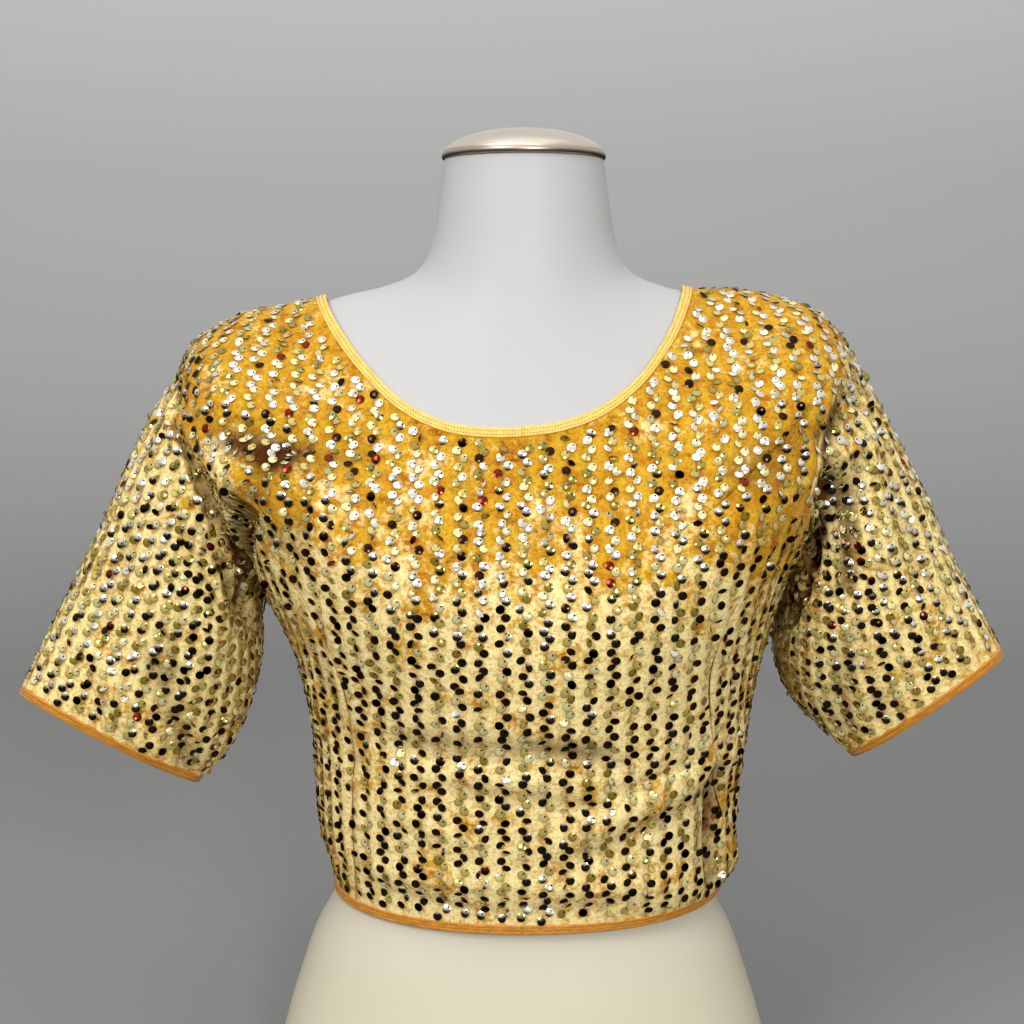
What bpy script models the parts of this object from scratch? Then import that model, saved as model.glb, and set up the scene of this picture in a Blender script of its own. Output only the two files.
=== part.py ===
"""Choli blouse with half sleeves on a limbless dress form with a metal neck cap.

Units are metres and +Z is up. The front of the blouse faces -Y and left means
the -X side, as seen from the front. The origin is the centre of the form's
flat base. The form is a stack of rings; the blouse is worked out from the same
rings, moved out by the ease of the cloth, and cut along its seams.
"""

import math

import bmesh
import bpy
import numpy as np

# Cloth and seams
WALL = 0.0015
SEAM_GAP = 0.0005
BINDING_GAP = 0.0009
SHOULDER_GAP = 0.0011
FRONT_SEAM_GAP = 0.0013
LEAST_EASE = 0.0016
BINDING_WIDTH = 0.0062
BINDING_WALL = 0.0021

# Form
SHOULDER_BEND = 1.4
BODY_BEND = 2.0
BEND_RINGS = (6.5, 9.0)
BUST_RISE = 0.006
BUST_ANGLE = 31.0
BUST_HEIGHT = 0.345
BUST_SPREAD_ANGLE = 24.0
BUST_SPREAD_HEIGHT = 0.042
FORM_ROWS = 34
FORM_COLUMNS = 36

# Neck cap, a shallow dome with a rim
CAP_SEAT = 0.6183
CAP_RADIUS = 0.0515
CAP_RIM_HEIGHT = 0.0042
CAP_HEIGHT = 0.0193
CAP_STEPS = 36
CAP_CURVE_POINTS = 7

# Each ring of the form: number, half width and height at the side, depth and
# height at the front, depth and height at the back, squareness
FORM_RINGS = (
    (0, 0.0500, 0.6180, 0.0490, 0.6180, 0.0490, 0.6180, 2.00),
    (1, 0.0535, 0.5940, 0.0520, 0.5900, 0.0540, 0.5940, 2.00),
    (2, 0.0585, 0.5660, 0.0560, 0.5560, 0.0610, 0.5640, 2.00),
    (3, 0.0680, 0.5490, 0.0605, 0.5300, 0.0680, 0.5480, 2.00),
    (4, 0.0885, 0.5400, 0.0680, 0.5020, 0.0780, 0.5320, 2.00),
    (5, 0.1100, 0.5350, 0.0780, 0.4740, 0.0900, 0.5140, 2.00),
    (6, 0.1320, 0.5280, 0.0890, 0.4450, 0.1000, 0.4920, 2.00),
    (7, 0.1530, 0.5185, 0.1000, 0.4160, 0.1070, 0.4670, 2.05),
    (8, 0.1710, 0.5050, 0.1100, 0.3900, 0.1110, 0.4420, 2.10),
    (9, 0.1820, 0.4830, 0.1170, 0.3670, 0.1125, 0.4180, 2.20),
    (10, 0.1800, 0.4500, 0.1205, 0.3520, 0.1120, 0.3950, 2.25),
    (11, 0.1700, 0.4050, 0.1215, 0.3400, 0.1100, 0.3700, 2.30),
    (12, 0.1585, 0.3600, 0.1200, 0.3260, 0.1060, 0.3450, 2.30),
    (13, 0.1475, 0.3200, 0.1140, 0.3050, 0.1000, 0.3150, 2.30),
    (14, 0.1375, 0.2900, 0.1060, 0.2800, 0.0945, 0.2860, 2.30),
    (15, 0.1275, 0.2580, 0.0985, 0.2520, 0.0895, 0.2560, 2.30),
    (16, 0.1195, 0.2250, 0.0925, 0.2220, 0.0862, 0.2240, 2.30),
    (17, 0.1165, 0.1930, 0.0888, 0.1920, 0.0852, 0.1930, 2.25),
    (18, 0.1170, 0.1700, 0.0880, 0.1700, 0.0870, 0.1700, 2.25),
    (19, 0.1222, 0.1485, 0.0895, 0.1485, 0.0925, 0.1485, 2.20),
    (20, 0.1375, 0.1200, 0.0955, 0.1200, 0.1030, 0.1200, 2.20),
    (21, 0.1470, 0.0930, 0.1010, 0.0930, 0.1125, 0.0930, 2.20),
    (22, 0.1565, 0.0620, 0.1065, 0.0620, 0.1195, 0.0620, 2.20),
    (23, 0.1635, 0.0310, 0.1105, 0.0310, 0.1235, 0.0310, 2.20),
    (24, 0.1665, 0.0000, 0.1125, 0.0000, 0.1250, 0.0000, 2.20),
)

# How far the cloth stands off the form, in mm: ring, left, front, right, back
EASE_ROWS = (
    (4, 2.5, 1.2, 2.5, 1.5),
    (5, 3.0, 1.2, 3.2, 1.5),
    (6, 4.2, 1.5, 10.0, 2.0),
    (7, 9.5, 2.0, 16.0, 3.0),
    (8, 20.5, 3.0, 23.5, 4.0),
    (9, 34.0, 3.0, 27.0, 4.0),
    (10, 29.0, 3.0, 22.0, 4.0),
    (11, 18.0, 2.5, 14.0, 4.0),
    (12, 9.0, 4.0, 8.0, 5.0),
    (13, 2.0, 7.0, 7.0, 7.0),
    (14, 3.0, 10.0, 10.5, 9.0),
    (15, 8.0, 12.0, 16.0, 11.0),
    (16, 14.5, 13.0, 18.5, 12.0),
    (17, 15.0, 11.5, 20.5, 10.0),
    (18, 8.0, 9.0, 21.0, 6.0),
    (19, 2.2, 6.5, 8.5, 3.0),
    (20, 2.0, 5.0, 6.0, 3.0),
)

# Edge of the neck opening: angle round the neck, ring number
NECK_CURVE = (
    (-225.0, 6.20),
    (-180.0, 6.50),
    (-135.0, 6.20),
    (-90.0, 5.64),
    (-75.0, 5.53),
    (-60.0, 5.60),
    (-45.0, 5.76),
    (-30.0, 5.78),
    (-15.0, 5.69),
    (0.0, 5.61),
    (15.0, 5.56),
    (30.0, 5.47),
    (45.0, 5.24),
    (60.0, 4.88),
    (75.0, 4.58),
    (90.0, 4.53),
    (135.0, 5.75),
    (180.0, 6.50),
    (225.0, 6.20),
)
NECK_RING = 5.50
NECK_BLEND_RING = 8.50
HEM_RING = 18.95

# Armholes: side, ring at the shoulder, ring at the underarm, half opening
# angle in front, half opening angle at the back, lean of the front and of the
# back; a lean below 0 makes the opening wider near the shoulder
ARMHOLES = {
    "left": (-1.0, 9.0, 12.15, 14.0, 20.0, 0.12, 0.12),
    "right": (1.0, 8.6, 12.3, 23.0, 20.0, -0.45, 0.12),
}

# Curved seams of the front: ring number, angle on the left, angle on the right
FRONT_SEAMS = (
    (9.80, 76.5, 63.6),
    (10.40, 62.0, 56.5),
    (11.30, 53.0, 51.5),
    (12.50, 51.0, 49.0),
    (14.00, 52.5, 54.0),
    (16.00, 57.0, 66.0),
    (17.50, 60.5, 75.0),
    (19.40, 65.0, 79.0),
)

# Soft folds of the body: angle and height of both ends, rise in mm (a trough
# is negative), half width in mm
BODY_FOLDS = (
    (-36.0, 0.272, 22.0, 0.267, -3.0, 9.0),
    (70.0, 0.262, 12.0, 0.212, 3.0, 10.0),
    (60.0, 0.245, 65.0, 0.172, -5.0, 8.0),
    (77.0, 0.240, 79.0, 0.170, 2.0, 7.0),
    (-50.0, 0.185, 45.0, 0.180, 2.5, 9.0),
    (56.0, 0.425, 67.0, 0.448, -2.5, 8.0),
    (-70.0, 0.452, -50.0, 0.437, -2.5, 9.0),
    (-66.0, 0.425, -48.0, 0.412, 2.0, 8.0),
    (-62.0, 0.402, -52.0, 0.384, -2.5, 9.0),
    (150.0, 0.275, 205.0, 0.268, -3.0, 10.0),
    (130.0, 0.225, 190.0, 0.205, 3.0, 10.0),
    (228.0, 0.235, 222.0, 0.175, -4.0, 9.0),
)
FOLD_RADIUS = 0.130

# Sleeve sections: number, outer edge x and z, inner edge x and z, half depth,
# centre y, rise of the front over the centre; section 0 is the armhole itself
SLEEVES = {
    "left": (
        (1, 0.2340, 0.4640, 0.1715, 0.3270, 0.0610, 0.0020, 0.0000),
        (2, 0.2520, 0.4300, 0.1720, 0.3030, 0.0580, 0.0010, 0.0000),
        (3, 0.2680, 0.3940, 0.1765, 0.2790, 0.0540, 0.0000, 0.0015),
        (4, 0.2865, 0.3580, 0.1850, 0.2550, 0.0490, -0.0010, 0.0040),
        (5, 0.3070, 0.3190, 0.1980, 0.2340, 0.0430, -0.0020, 0.0070),
        (6, 0.3280, 0.2780, 0.2145, 0.2170, 0.0370, -0.0030, 0.0095),
    ),
    "right": (
        (1, 0.2220, 0.4740, 0.1660, 0.3290, 0.0610, 0.0020, 0.0000),
        (2, 0.2400, 0.4410, 0.1640, 0.3090, 0.0580, 0.0010, 0.0000),
        (3, 0.2580, 0.4070, 0.1680, 0.2890, 0.0540, 0.0000, 0.0015),
        (4, 0.2740, 0.3715, 0.1790, 0.2700, 0.0490, -0.0010, 0.0040),
        (5, 0.2925, 0.3370, 0.1970, 0.2520, 0.0430, -0.0020, 0.0070),
        (6, 0.3115, 0.3030, 0.2170, 0.2345, 0.0370, -0.0030, 0.0095),
    ),
}

# Soft folds of the sleeves: angle round the sleeve (0 on top, 90 in front) and
# section at both ends, rise in mm, half width in mm
SLEEVE_FOLDS = {
    "left": (
        (60.0, 0.4, 120.0, 1.4, 4.0, 9.0),
        (88.0, 0.3, 138.0, 1.1, -5.0, 8.0),
        (100.0, 4.0, 150.0, 5.6, -4.0, 9.0),
        (70.0, 4.6, 120.0, 5.9, 3.0, 9.0),
        (250.0, 0.6, 225.0, 2.0, -4.0, 10.0),
        (240.0, 3.6, 215.0, 5.4, 3.0, 10.0),
    ),
    "right": (
        (78.0, 0.4, 98.0, 2.3, -6.0, 9.0),
        (56.0, 0.4, 70.0, 2.6, 3.0, 9.0),
        (110.0, 3.4, 150.0, 5.2, -3.0, 9.0),
        (250.0, 0.6, 225.0, 2.0, -4.0, 10.0),
        (240.0, 3.6, 215.0, 5.4, 3.0, 10.0),
    ),
}
SLEEVE_COLUMNS = 24
SLEEVE_STEPS = (0.0, 0.25, 0.55, 0.9, 1.4, 2.0, 2.6, 3.3, 4.0, 4.6, 5.2)
SLEEVE_FOLD_RADIUS = 0.055
SLEEVE_STEP_LENGTH = 0.038

# Rows and columns of the panels
SHOULDER_STEPS = (0.25, 0.5, 0.75)
SIDE_RINGS = (12.9, 13.5, 14.2, 15.0, 15.8, 16.6, 17.4, 18.1, 18.6)
CENTRE_COLUMNS = 18
SIDE_COLUMNS = 6
SIDE_TIP = 0.4
BACK_COLUMNS = 20
BINDING_COLUMNS = 52
CUFF_COLUMNS = 24

# Colours, roughness and metallic value
MATERIALS = {
    "velvet_body": ((0.745, 0.545, 0.165, 1.0), 0.75, 0.0),
    "velvet_sleeve": ((0.760, 0.600, 0.240, 1.0), 0.75, 0.0),
    "neck_satin": ((0.860, 0.560, 0.110, 1.0), 0.45, 0.0),
    "edge_satin": ((0.730, 0.370, 0.040, 1.0), 0.45, 0.0),
    "form_plastic": ((0.790, 0.770, 0.740, 1.0), 0.40, 0.0),
    "cap_nickel": ((0.560, 0.510, 0.440, 1.0), 0.35, 1.0),
}


def smooth_through(rows, at):
    """Every column after the first, read at the places in the first column.

    The curve passes through each row and its slope there is that of the line
    between the two rows beside it.
    """
    rows = np.asarray(rows, float)
    at = np.asarray(at, float)
    places = rows[:, 0]
    values = rows[:, 1:]
    slopes = np.gradient(values, places, axis=0)
    at = np.clip(at, places[0], places[-1])
    i = np.clip(np.searchsorted(places, at, side="right") - 1, 0, len(places) - 2)
    span = (places[i + 1] - places[i])[..., None]
    t = (at - places[i])[..., None] / span
    start = values[i] * (1 + 2 * t) * (1 - t) ** 2
    end = values[i + 1] * t**2 * (3 - 2 * t)
    leave = slopes[i] * span * t * (1 - t) ** 2
    arrive = slopes[i + 1] * span * t**2 * (t - 1)
    return start + end + leave + arrive


def form_point(theta, ring):
    """Points of the form at an angle round it (0 in front, +90 right)."""
    ring, theta = np.broadcast_arrays(np.asarray(ring, float), theta)
    side_x, side_z, front_y, front_z, back_y, back_z, square = np.moveaxis(
        smooth_through(FORM_RINGS, ring), -1, 0
    )
    sine = np.sin(theta)
    cosine = np.cos(theta)
    depth = np.where(cosine >= 0, front_y, back_y)
    end_z = np.where(cosine >= 0, front_z, back_z)
    wide = (np.abs(sine) / side_x) ** square
    deep = (np.abs(cosine) / depth) ** square
    radius = (wide + deep) ** (-1 / square)
    share = np.minimum(radius * np.abs(cosine) / depth, 1.0)
    lower = np.clip((ring - BEND_RINGS[0]) / (BEND_RINGS[1] - BEND_RINGS[0]), 0.0, 1.0)
    bend = SHOULDER_BEND + (BODY_BEND - SHOULDER_BEND) * lower
    z = side_z + (end_z - side_z) * share**bend
    aside = (np.abs(np.degrees(np.arctan2(sine, cosine))) - BUST_ANGLE) / BUST_SPREAD_ANGLE
    above = (z - BUST_HEIGHT) / BUST_SPREAD_HEIGHT
    radius = radius + BUST_RISE * np.exp(-(aside**2) - above**2)
    return np.stack([radius * sine, -radius * cosine, z], axis=-1)


def form_normal(theta, ring):
    step = 1e-3
    across = form_point(theta + step, ring) - form_point(theta - step, ring)
    down = form_point(theta, ring + step) - form_point(theta, ring - step)
    normal = np.cross(down, across)
    return normal / np.linalg.norm(normal, axis=-1, keepdims=True)


def fold_rise(folds, u, v):
    """Sum of soft ridges and troughs, each along a straight line in (u, v)."""
    total = np.zeros(np.shape(u))
    for start_u, start_v, end_u, end_v, rise, half_width in folds:
        along_u = end_u - start_u
        along_v = end_v - start_v
        share = (u - start_u) * along_u + (v - start_v) * along_v
        share = np.clip(share / (along_u**2 + along_v**2), 0.0, 1.0)
        far = np.hypot(u - start_u - share * along_u, v - start_v - share * along_v)
        total = total + rise * np.exp(-((far / half_width) ** 2))
    return total


def body_fold_rise(theta, z):
    folds = []
    for start_angle, start_z, end_angle, end_z, rise, half_width in BODY_FOLDS:
        start_u = math.radians(start_angle) * FOLD_RADIUS
        end_u = math.radians(end_angle) * FOLD_RADIUS
        folds.append((start_u, start_z, end_u, end_z, rise * 1e-3, half_width * 1e-3))
    turned = np.where(theta < math.radians(-120), theta + 2 * math.pi, theta)
    return fold_rise(folds, turned * FOLD_RADIUS, z)


def cloth_ring(theta, row):
    """Ring of the form under a row of the cloth, bent along the neck opening."""
    turned = np.degrees(np.arctan2(np.sin(theta), np.cos(theta)))
    neck = smooth_through(NECK_CURVE, turned)[..., 0]
    fade = (NECK_BLEND_RING - row) / (NECK_BLEND_RING - NECK_RING)
    fade = np.clip(fade, 0.0, 1.1)
    return row + (neck - NECK_RING) * fade**1.5


def cloth_over_ring(theta, ring, out=0.0):
    """Points half way through the cloth, moved out by the given distance."""
    left, front, right, back = np.moveaxis(smooth_through(EASE_ROWS, ring), -1, 0)
    sine = np.sin(theta)
    cosine = np.cos(theta)
    side = np.where(sine >= 0, right, left)
    end = np.where(cosine >= 0, front, back)
    ease = (side * sine**2 + end * cosine**2) * 1e-3
    base = form_point(theta, ring)
    ease = np.maximum(ease + body_fold_rise(theta, base[..., 2]), LEAST_EASE)
    return base + form_normal(theta, ring) * (ease + out)[..., None]


def cloth_point(theta, row, out=0.0):
    row, theta = np.broadcast_arrays(np.asarray(row, float), theta)
    return cloth_over_ring(theta, cloth_ring(theta, row), out)


def cloth_normal(theta, row):
    step = 1e-3
    across = cloth_point(theta + step, row) - cloth_point(theta - step, row)
    down = cloth_point(theta, row + step) - cloth_point(theta, row - step)
    normal = np.cross(down, across)
    return normal / np.linalg.norm(normal, axis=-1, keepdims=True)


def row_shift(theta, row, distance):
    """Change of row that moves a point this far down the cloth."""
    step = 1e-3
    down = cloth_point(theta, row + step) - cloth_point(theta, row - step)
    return distance * 2 * step / np.linalg.norm(down, axis=-1)


def angle_shift(theta, row, distance):
    """Change of angle that moves a point this far round the cloth."""
    step = 1e-3
    across = cloth_point(theta + step, row) - cloth_point(theta - step, row)
    return distance / np.maximum(np.linalg.norm(across, axis=-1) / (2 * step), 0.08)


def armhole_angle(side, row, back):
    """Angle of the armhole's edge from the side line, 0 outside the armhole."""
    _, top, bottom, front_angle, back_angle, front_lean, back_lean = ARMHOLES[side]
    place = (row - (top + bottom) / 2) / ((bottom - top) / 2)
    inside = np.clip(1 - place**2, 0.0, 1.0)
    half_angle = back_angle if back else front_angle
    lean = back_lean if back else front_lean
    return math.radians(half_angle) * np.sqrt(inside) * (1 + lean * place)


def side_edge(side, row, back):
    """Angle of a panel's edge along the shoulder, armhole and side seams."""
    sign = ARMHOLES[side][0]
    edge = np.full(np.shape(row), sign * math.pi / 2)
    turn = sign * (-1.0 if not back else 1.0)
    opening = armhole_angle(side, row, back)
    wide = np.where(row < ARMHOLES[side][1] + 0.05, SHOULDER_GAP, SEAM_GAP)
    gap = angle_shift(edge, row, wide / 2)
    return edge + turn * (opening + gap)


def front_seam(side, row):
    left, right = np.moveaxis(smooth_through(FRONT_SEAMS, row), -1, 0)
    return np.radians(right) if side == "right" else -np.radians(left)


def panel_rows(top_row, side):
    """Row numbers from the neck binding to the hem binding."""
    top, bottom = ARMHOLES[side][1:3]
    rows = [top_row + (top - top_row) * step for step in SHOULDER_STEPS]
    turns = np.linspace(0.0, math.pi, SLEEVE_COLUMNS // 2 + 1)
    rows += list(top + (bottom - top) * (1 - np.cos(turns)) / 2)
    rows += list(SIDE_RINGS)
    return rows


def panel_between(rows_left, rows_right, edges, columns):
    """Grid of points between two edges, with a row number of its own on each."""
    share = np.linspace(0.0, 1.0, columns + 1)[None, :]
    rows = rows_left[:, None] * (1 - share) + rows_right[:, None] * share
    theta = edges[0][:, None] * (1 - share) + edges[1][:, None] * share
    first = NECK_RING + row_shift(theta, NECK_RING, BINDING_WIDTH + BINDING_GAP)
    last = HEM_RING - row_shift(theta, HEM_RING, BINDING_WIDTH + BINDING_GAP)
    return theta, rows, first, last


def add_grid(name, points, wall, offset, material, closed=False, flip=False):
    """Open surface through a grid of points, thickened to a cloth wall."""
    count, across = points.shape[:2]
    mesh = bpy.data.meshes.new(name)
    faces = []
    for i in range(count - 1):
        for j in range(across if closed else across - 1):
            k = (j + 1) % across
            face = (i * across + j, (i + 1) * across + j, (i + 1) * across + k, i * across + k)
            faces.append(face[::-1] if flip else face)
    mesh.from_pydata(points.reshape(-1, 3).tolist(), [], faces)
    mesh.shade_smooth()
    obj = add_object(name, mesh, material)
    if wall:
        shell = obj.modifiers.new("Wall", "SOLIDIFY")
        shell.thickness = wall
        shell.offset = offset
        shell.use_quality_normals = True
    return obj


def add_object(name, mesh, material):
    obj = bpy.data.objects.new(name, mesh)
    bpy.data.collections["choli_blouse"].objects.link(obj)
    mesh.materials.append(bpy.data.materials[material])
    return obj


def make_materials():
    for name, (colour, roughness, metallic) in MATERIALS.items():
        material = bpy.data.materials.new(name)
        material.use_nodes = True
        shader = material.node_tree.nodes["Principled BSDF"]
        shader.inputs["Base Color"].default_value = colour
        shader.inputs["Roughness"].default_value = roughness
        shader.inputs["Metallic"].default_value = metallic


def make_form():
    """Smooth torso from the neck to a flat base, as a loft between its rings."""
    rings = np.linspace(0.0, 24.0, FORM_ROWS + 1)[:, None]
    theta = np.linspace(0.0, 2 * math.pi, FORM_COLUMNS, endpoint=False)[None, :]
    points = form_point(theta + 0 * rings, rings + 0 * theta)
    obj = add_grid("dress_form", points, 0.0, 0.0, "form_plastic", closed=True)
    loft = bmesh.new()
    loft.from_mesh(obj.data)
    loft.verts.ensure_lookup_table()
    last = FORM_ROWS * FORM_COLUMNS
    loft.faces.new([loft.verts[j] for j in range(FORM_COLUMNS)])
    loft.faces.new([loft.verts[last + j] for j in reversed(range(FORM_COLUMNS))])
    bmesh.ops.recalc_face_normals(loft, faces=loft.faces)
    loft.to_mesh(obj.data)
    loft.free()
    obj.data.shade_smooth()
    obj.data.set_sharp_from_angle(angle=math.radians(50))
    return obj


def make_cap():
    """Turned neck cap: its half profile runs from the rim's underside to the top."""
    rise = CAP_HEIGHT - CAP_RIM_HEIGHT
    profile = [(0.0, 0.0), (CAP_RADIUS - 0.001, 0.0), (CAP_RADIUS, 0.001)]
    profile.append((CAP_RADIUS, CAP_RIM_HEIGHT - 0.0012))
    profile.append((CAP_RADIUS - 0.0012, CAP_RIM_HEIGHT))
    for i in range(1, CAP_CURVE_POINTS + 1):
        turn = math.pi / 2 * i / CAP_CURVE_POINTS
        radius = (CAP_RADIUS - 0.0012) * math.cos(turn)
        profile.append((max(radius, 0.0), CAP_RIM_HEIGHT + rise * math.sin(turn) ** 1.15))
    mesh = bpy.data.meshes.new("neck_cap")
    points = [(x, 0.0, CAP_SEAT + z) for x, z in reversed(profile)]
    edges = [(i, i + 1) for i in range(len(points) - 1)]
    mesh.from_pydata(points, edges, [])
    obj = add_object("neck_cap", mesh, "cap_nickel")
    turned = obj.modifiers.new("Turn", "SCREW")
    turned.steps = CAP_STEPS
    turned.render_steps = CAP_STEPS
    turned.use_merge_vertices = True
    turned.merge_threshold = 0.0001
    return obj


def rows_for(side):
    return np.array([NECK_RING] + panel_rows(NECK_RING, side) + [HEM_RING])


def front_edges(side):
    """Rows of the front on one side, with its outer edge and its curved seam.

    The seam starts on the armhole's edge, at the row where the two meet, and
    one more row just below it shapes the tip of the side front.
    """
    rows = rows_for(side)
    outer = side_edge(side, rows, False)
    seam = front_seam(side, rows)
    gap = ARMHOLES[side][0] * angle_shift(seam, rows, FRONT_SEAM_GAP)
    start = int(np.argmax(rows > FRONT_SEAMS[0][0]))
    centre = np.where(rows > FRONT_SEAMS[0][0], seam - gap / 2, outer)
    edges = []
    for values in (rows, outer, centre, gap):
        tip = values[start - 1] * (1 - SIDE_TIP) + values[start] * SIDE_TIP
        edges.append(np.insert(values, start, tip))
    rows, outer, centre, gap = edges
    return rows, outer, centre, centre + gap, start


def make_front():
    """Centre front and two side fronts, parted by the curved front seams."""
    left_rows, _, left_edge, _, _ = front_edges("left")
    right_rows, _, right_edge, _, _ = front_edges("right")
    theta, rows, first, last = panel_between(
        left_rows, right_rows, (left_edge, right_edge), CENTRE_COLUMNS
    )
    rows[0] = first[0]
    rows[-1] = last[-1]
    add_grid("front_centre", cloth_point(theta, rows), WALL, 0.0, "velvet_body")

    for side in ("left", "right"):
        rows, outer, _, seam, start = front_edges(side)
        edges = (outer[start:], seam[start:])
        edges = edges if side == "left" else edges[::-1]
        theta, rows, _, last = panel_between(rows[start:], rows[start:], edges, SIDE_COLUMNS)
        rows[-1] = last[-1]
        points = cloth_point(theta, rows)
        add_grid("front_side_" + side, points, WALL, 0.0, "velvet_body")


def make_back():
    """Back in one piece, from the right side seam round to the left one."""
    rows_left = rows_for("left")
    rows_right = rows_for("right")
    right = side_edge("right", rows_right, True)
    left = side_edge("left", rows_left, True) + 2 * math.pi
    theta, rows, first, last = panel_between(
        rows_right, rows_left, (right, left), BACK_COLUMNS
    )
    rows[0] = first[0]
    rows[-1] = last[-1]
    add_grid("back", cloth_point(theta, rows), WALL, 0.0, "velvet_body")


def make_neck_binding():
    theta = np.linspace(0.0, 2 * math.pi, BINDING_COLUMNS, endpoint=False)[None, :]
    steps = np.array([0.0, 1.0])[:, None]
    rows = NECK_RING + steps * row_shift(theta, NECK_RING, BINDING_WIDTH)
    points = cloth_point(theta + 0 * steps, rows, (BINDING_WALL - WALL) / 2)
    add_grid("neck_binding", points, BINDING_WALL, 0.0, "neck_satin", closed=True)


def make_hem_binding():
    theta = np.linspace(0.0, 2 * math.pi, BINDING_COLUMNS, endpoint=False)[None, :]
    steps = np.array([1.0, 0.0])[:, None]
    rows = HEM_RING - steps * row_shift(theta, HEM_RING, BINDING_WIDTH)
    points = cloth_point(theta + 0 * steps, rows, (BINDING_WALL - WALL) / 2)
    add_grid("hem_binding", points, BINDING_WALL, 0.0, "edge_satin", closed=True)


def armhole_loop(side, phi):
    """Start of a sleeve: the armhole's edge, moved clear of the panels' walls."""
    sign, top, bottom, front_angle, back_angle, front_lean, back_lean = ARMHOLES[side]
    middle = (top + bottom) / 2
    half = (bottom - top) / 2
    row = middle - half * np.cos(phi)
    half_angle = np.radians(np.where(np.sin(phi) >= 0, front_angle, back_angle))
    lean = np.where(np.sin(phi) >= 0, front_lean, back_lean)
    opening = half_angle * np.sin(phi) * (1 - lean * np.cos(phi))
    theta = sign * (math.pi / 2 - opening)
    edge = cloth_point(theta, row)
    normal = cloth_normal(theta, row)
    centre_row = np.full(np.shape(row), middle)
    centre = cloth_point(np.full(np.shape(row), sign * math.pi / 2), centre_row)
    inward = centre - edge
    inward = inward - normal * np.sum(inward * normal, axis=-1, keepdims=True)
    inward = inward / np.linalg.norm(inward, axis=-1, keepdims=True)
    low = (1 - np.cos(phi))[..., None] / 2
    return edge + normal * (WALL / 2 + 0.0006 * low) + inward * 0.0004


def sleeve_point(side, phi, place):
    """Outer face of a sleeve, from its armhole (place 0) to its cuff (6)."""
    place, phi = np.broadcast_arrays(np.asarray(place, float), phi)
    sign = ARMHOLES[side][0]
    sections = []
    for row in SLEEVES[side]:
        _, outer_x, outer_z, inner_x, inner_z, half_depth, centre_y, lift = row
        middle = np.array([(outer_x + inner_x) / 2 * sign, centre_y, (outer_z + inner_z) / 2])
        reach = np.array([(outer_x - inner_x) / 2 * sign, 0.0, (outer_z - inner_z) / 2])
        depth = np.array([0.0, -half_depth, lift])
        cosine = np.cos(phi)[..., None]
        sine = np.sin(phi)[..., None]
        sections.append(middle + reach * cosine + depth * sine)
    sections.insert(0, armhole_loop(side, phi))
    stack = np.stack(sections)
    slopes = np.gradient(stack, axis=0)
    i = np.clip(place.astype(int), 0, len(SLEEVES[side]) - 1)
    grid = np.indices(place.shape)
    start = stack[(i, *grid)]
    end = stack[(i + 1, *grid)]
    leave = slopes[(i, *grid)]
    arrive = slopes[(i + 1, *grid)]
    t = (place - i)[..., None]
    points = start * (1 + 2 * t) * (1 - t) ** 2 + end * t**2 * (3 - 2 * t)
    points = points + leave * t * (1 - t) ** 2 + arrive * t**2 * (t - 1)
    return points


def sleeve_rise(side, phi, place):
    folds = []
    for start_angle, start_place, end_angle, end_place, rise, half in SLEEVE_FOLDS[side]:
        start_u = math.radians(start_angle) * SLEEVE_FOLD_RADIUS
        end_u = math.radians(end_angle) * SLEEVE_FOLD_RADIUS
        start_v = start_place * SLEEVE_STEP_LENGTH
        end_v = end_place * SLEEVE_STEP_LENGTH
        folds.append((start_u, start_v, end_u, end_v, rise * 1e-3, half * 1e-3))
    return fold_rise(folds, phi * SLEEVE_FOLD_RADIUS, place * SLEEVE_STEP_LENGTH)


def sleeve_surface(side, phi, place):
    place, phi = np.broadcast_arrays(np.asarray(place, float), phi)
    step = 1e-3
    points = sleeve_point(side, phi, place)
    along = sleeve_point(side, phi, np.minimum(place + step, 6.0))
    along = along - sleeve_point(side, phi, np.maximum(place - step, 0.0))
    around = sleeve_point(side, phi + step, place) - sleeve_point(side, phi - step, place)
    normal = np.cross(along, around)
    normal = normal / np.linalg.norm(normal, axis=-1, keepdims=True)
    sign = -ARMHOLES[side][0]
    calm = np.clip(place / 0.6, 0.0, 1.0) * np.clip((6.0 - place) / 0.5 + 0.2, 0.0, 1.0)
    rise = sleeve_rise(side, phi, place) * calm
    return points + normal * (sign * rise)[..., None]


def cuff_place(side, phi, distance):
    """Place on the sleeve that lies this far above the cuff's edge."""
    step = 0.02
    edge = sleeve_point(side, phi, np.full(np.shape(phi), 6.0))
    above = sleeve_point(side, phi, np.full(np.shape(phi), 6.0 - step))
    return 6.0 - distance * step / np.linalg.norm(edge - above, axis=-1)


def make_sleeve(side):
    flip = side == "right"
    phi = np.linspace(0.0, 2 * math.pi, SLEEVE_COLUMNS, endpoint=False)
    steps = np.array(SLEEVE_STEPS)[:, None] + 0 * phi[None, :]
    last = cuff_place(side, phi, BINDING_WIDTH + BINDING_GAP)[None, :]
    places = np.concatenate([steps, last])
    points = sleeve_surface(side, phi[None, :] + 0 * places, places)
    add_grid("sleeve_" + side, points, WALL, -1.0, "velvet_sleeve", closed=True, flip=flip)

    phi = np.linspace(0.0, 2 * math.pi, CUFF_COLUMNS, endpoint=False)
    first = cuff_place(side, phi, BINDING_WIDTH)[None, :]
    places = np.concatenate([first, np.full((1, CUFF_COLUMNS), 6.0)])
    points = sleeve_surface(side, phi[None, :] + 0 * places, places)
    add_grid(
        "cuff_binding_" + side, points, BINDING_WALL, -0.6, "edge_satin", closed=True, flip=flip
    )


def clear_scene():
    for obj in list(bpy.data.objects):
        bpy.data.objects.remove(obj, do_unlink=True)


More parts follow.
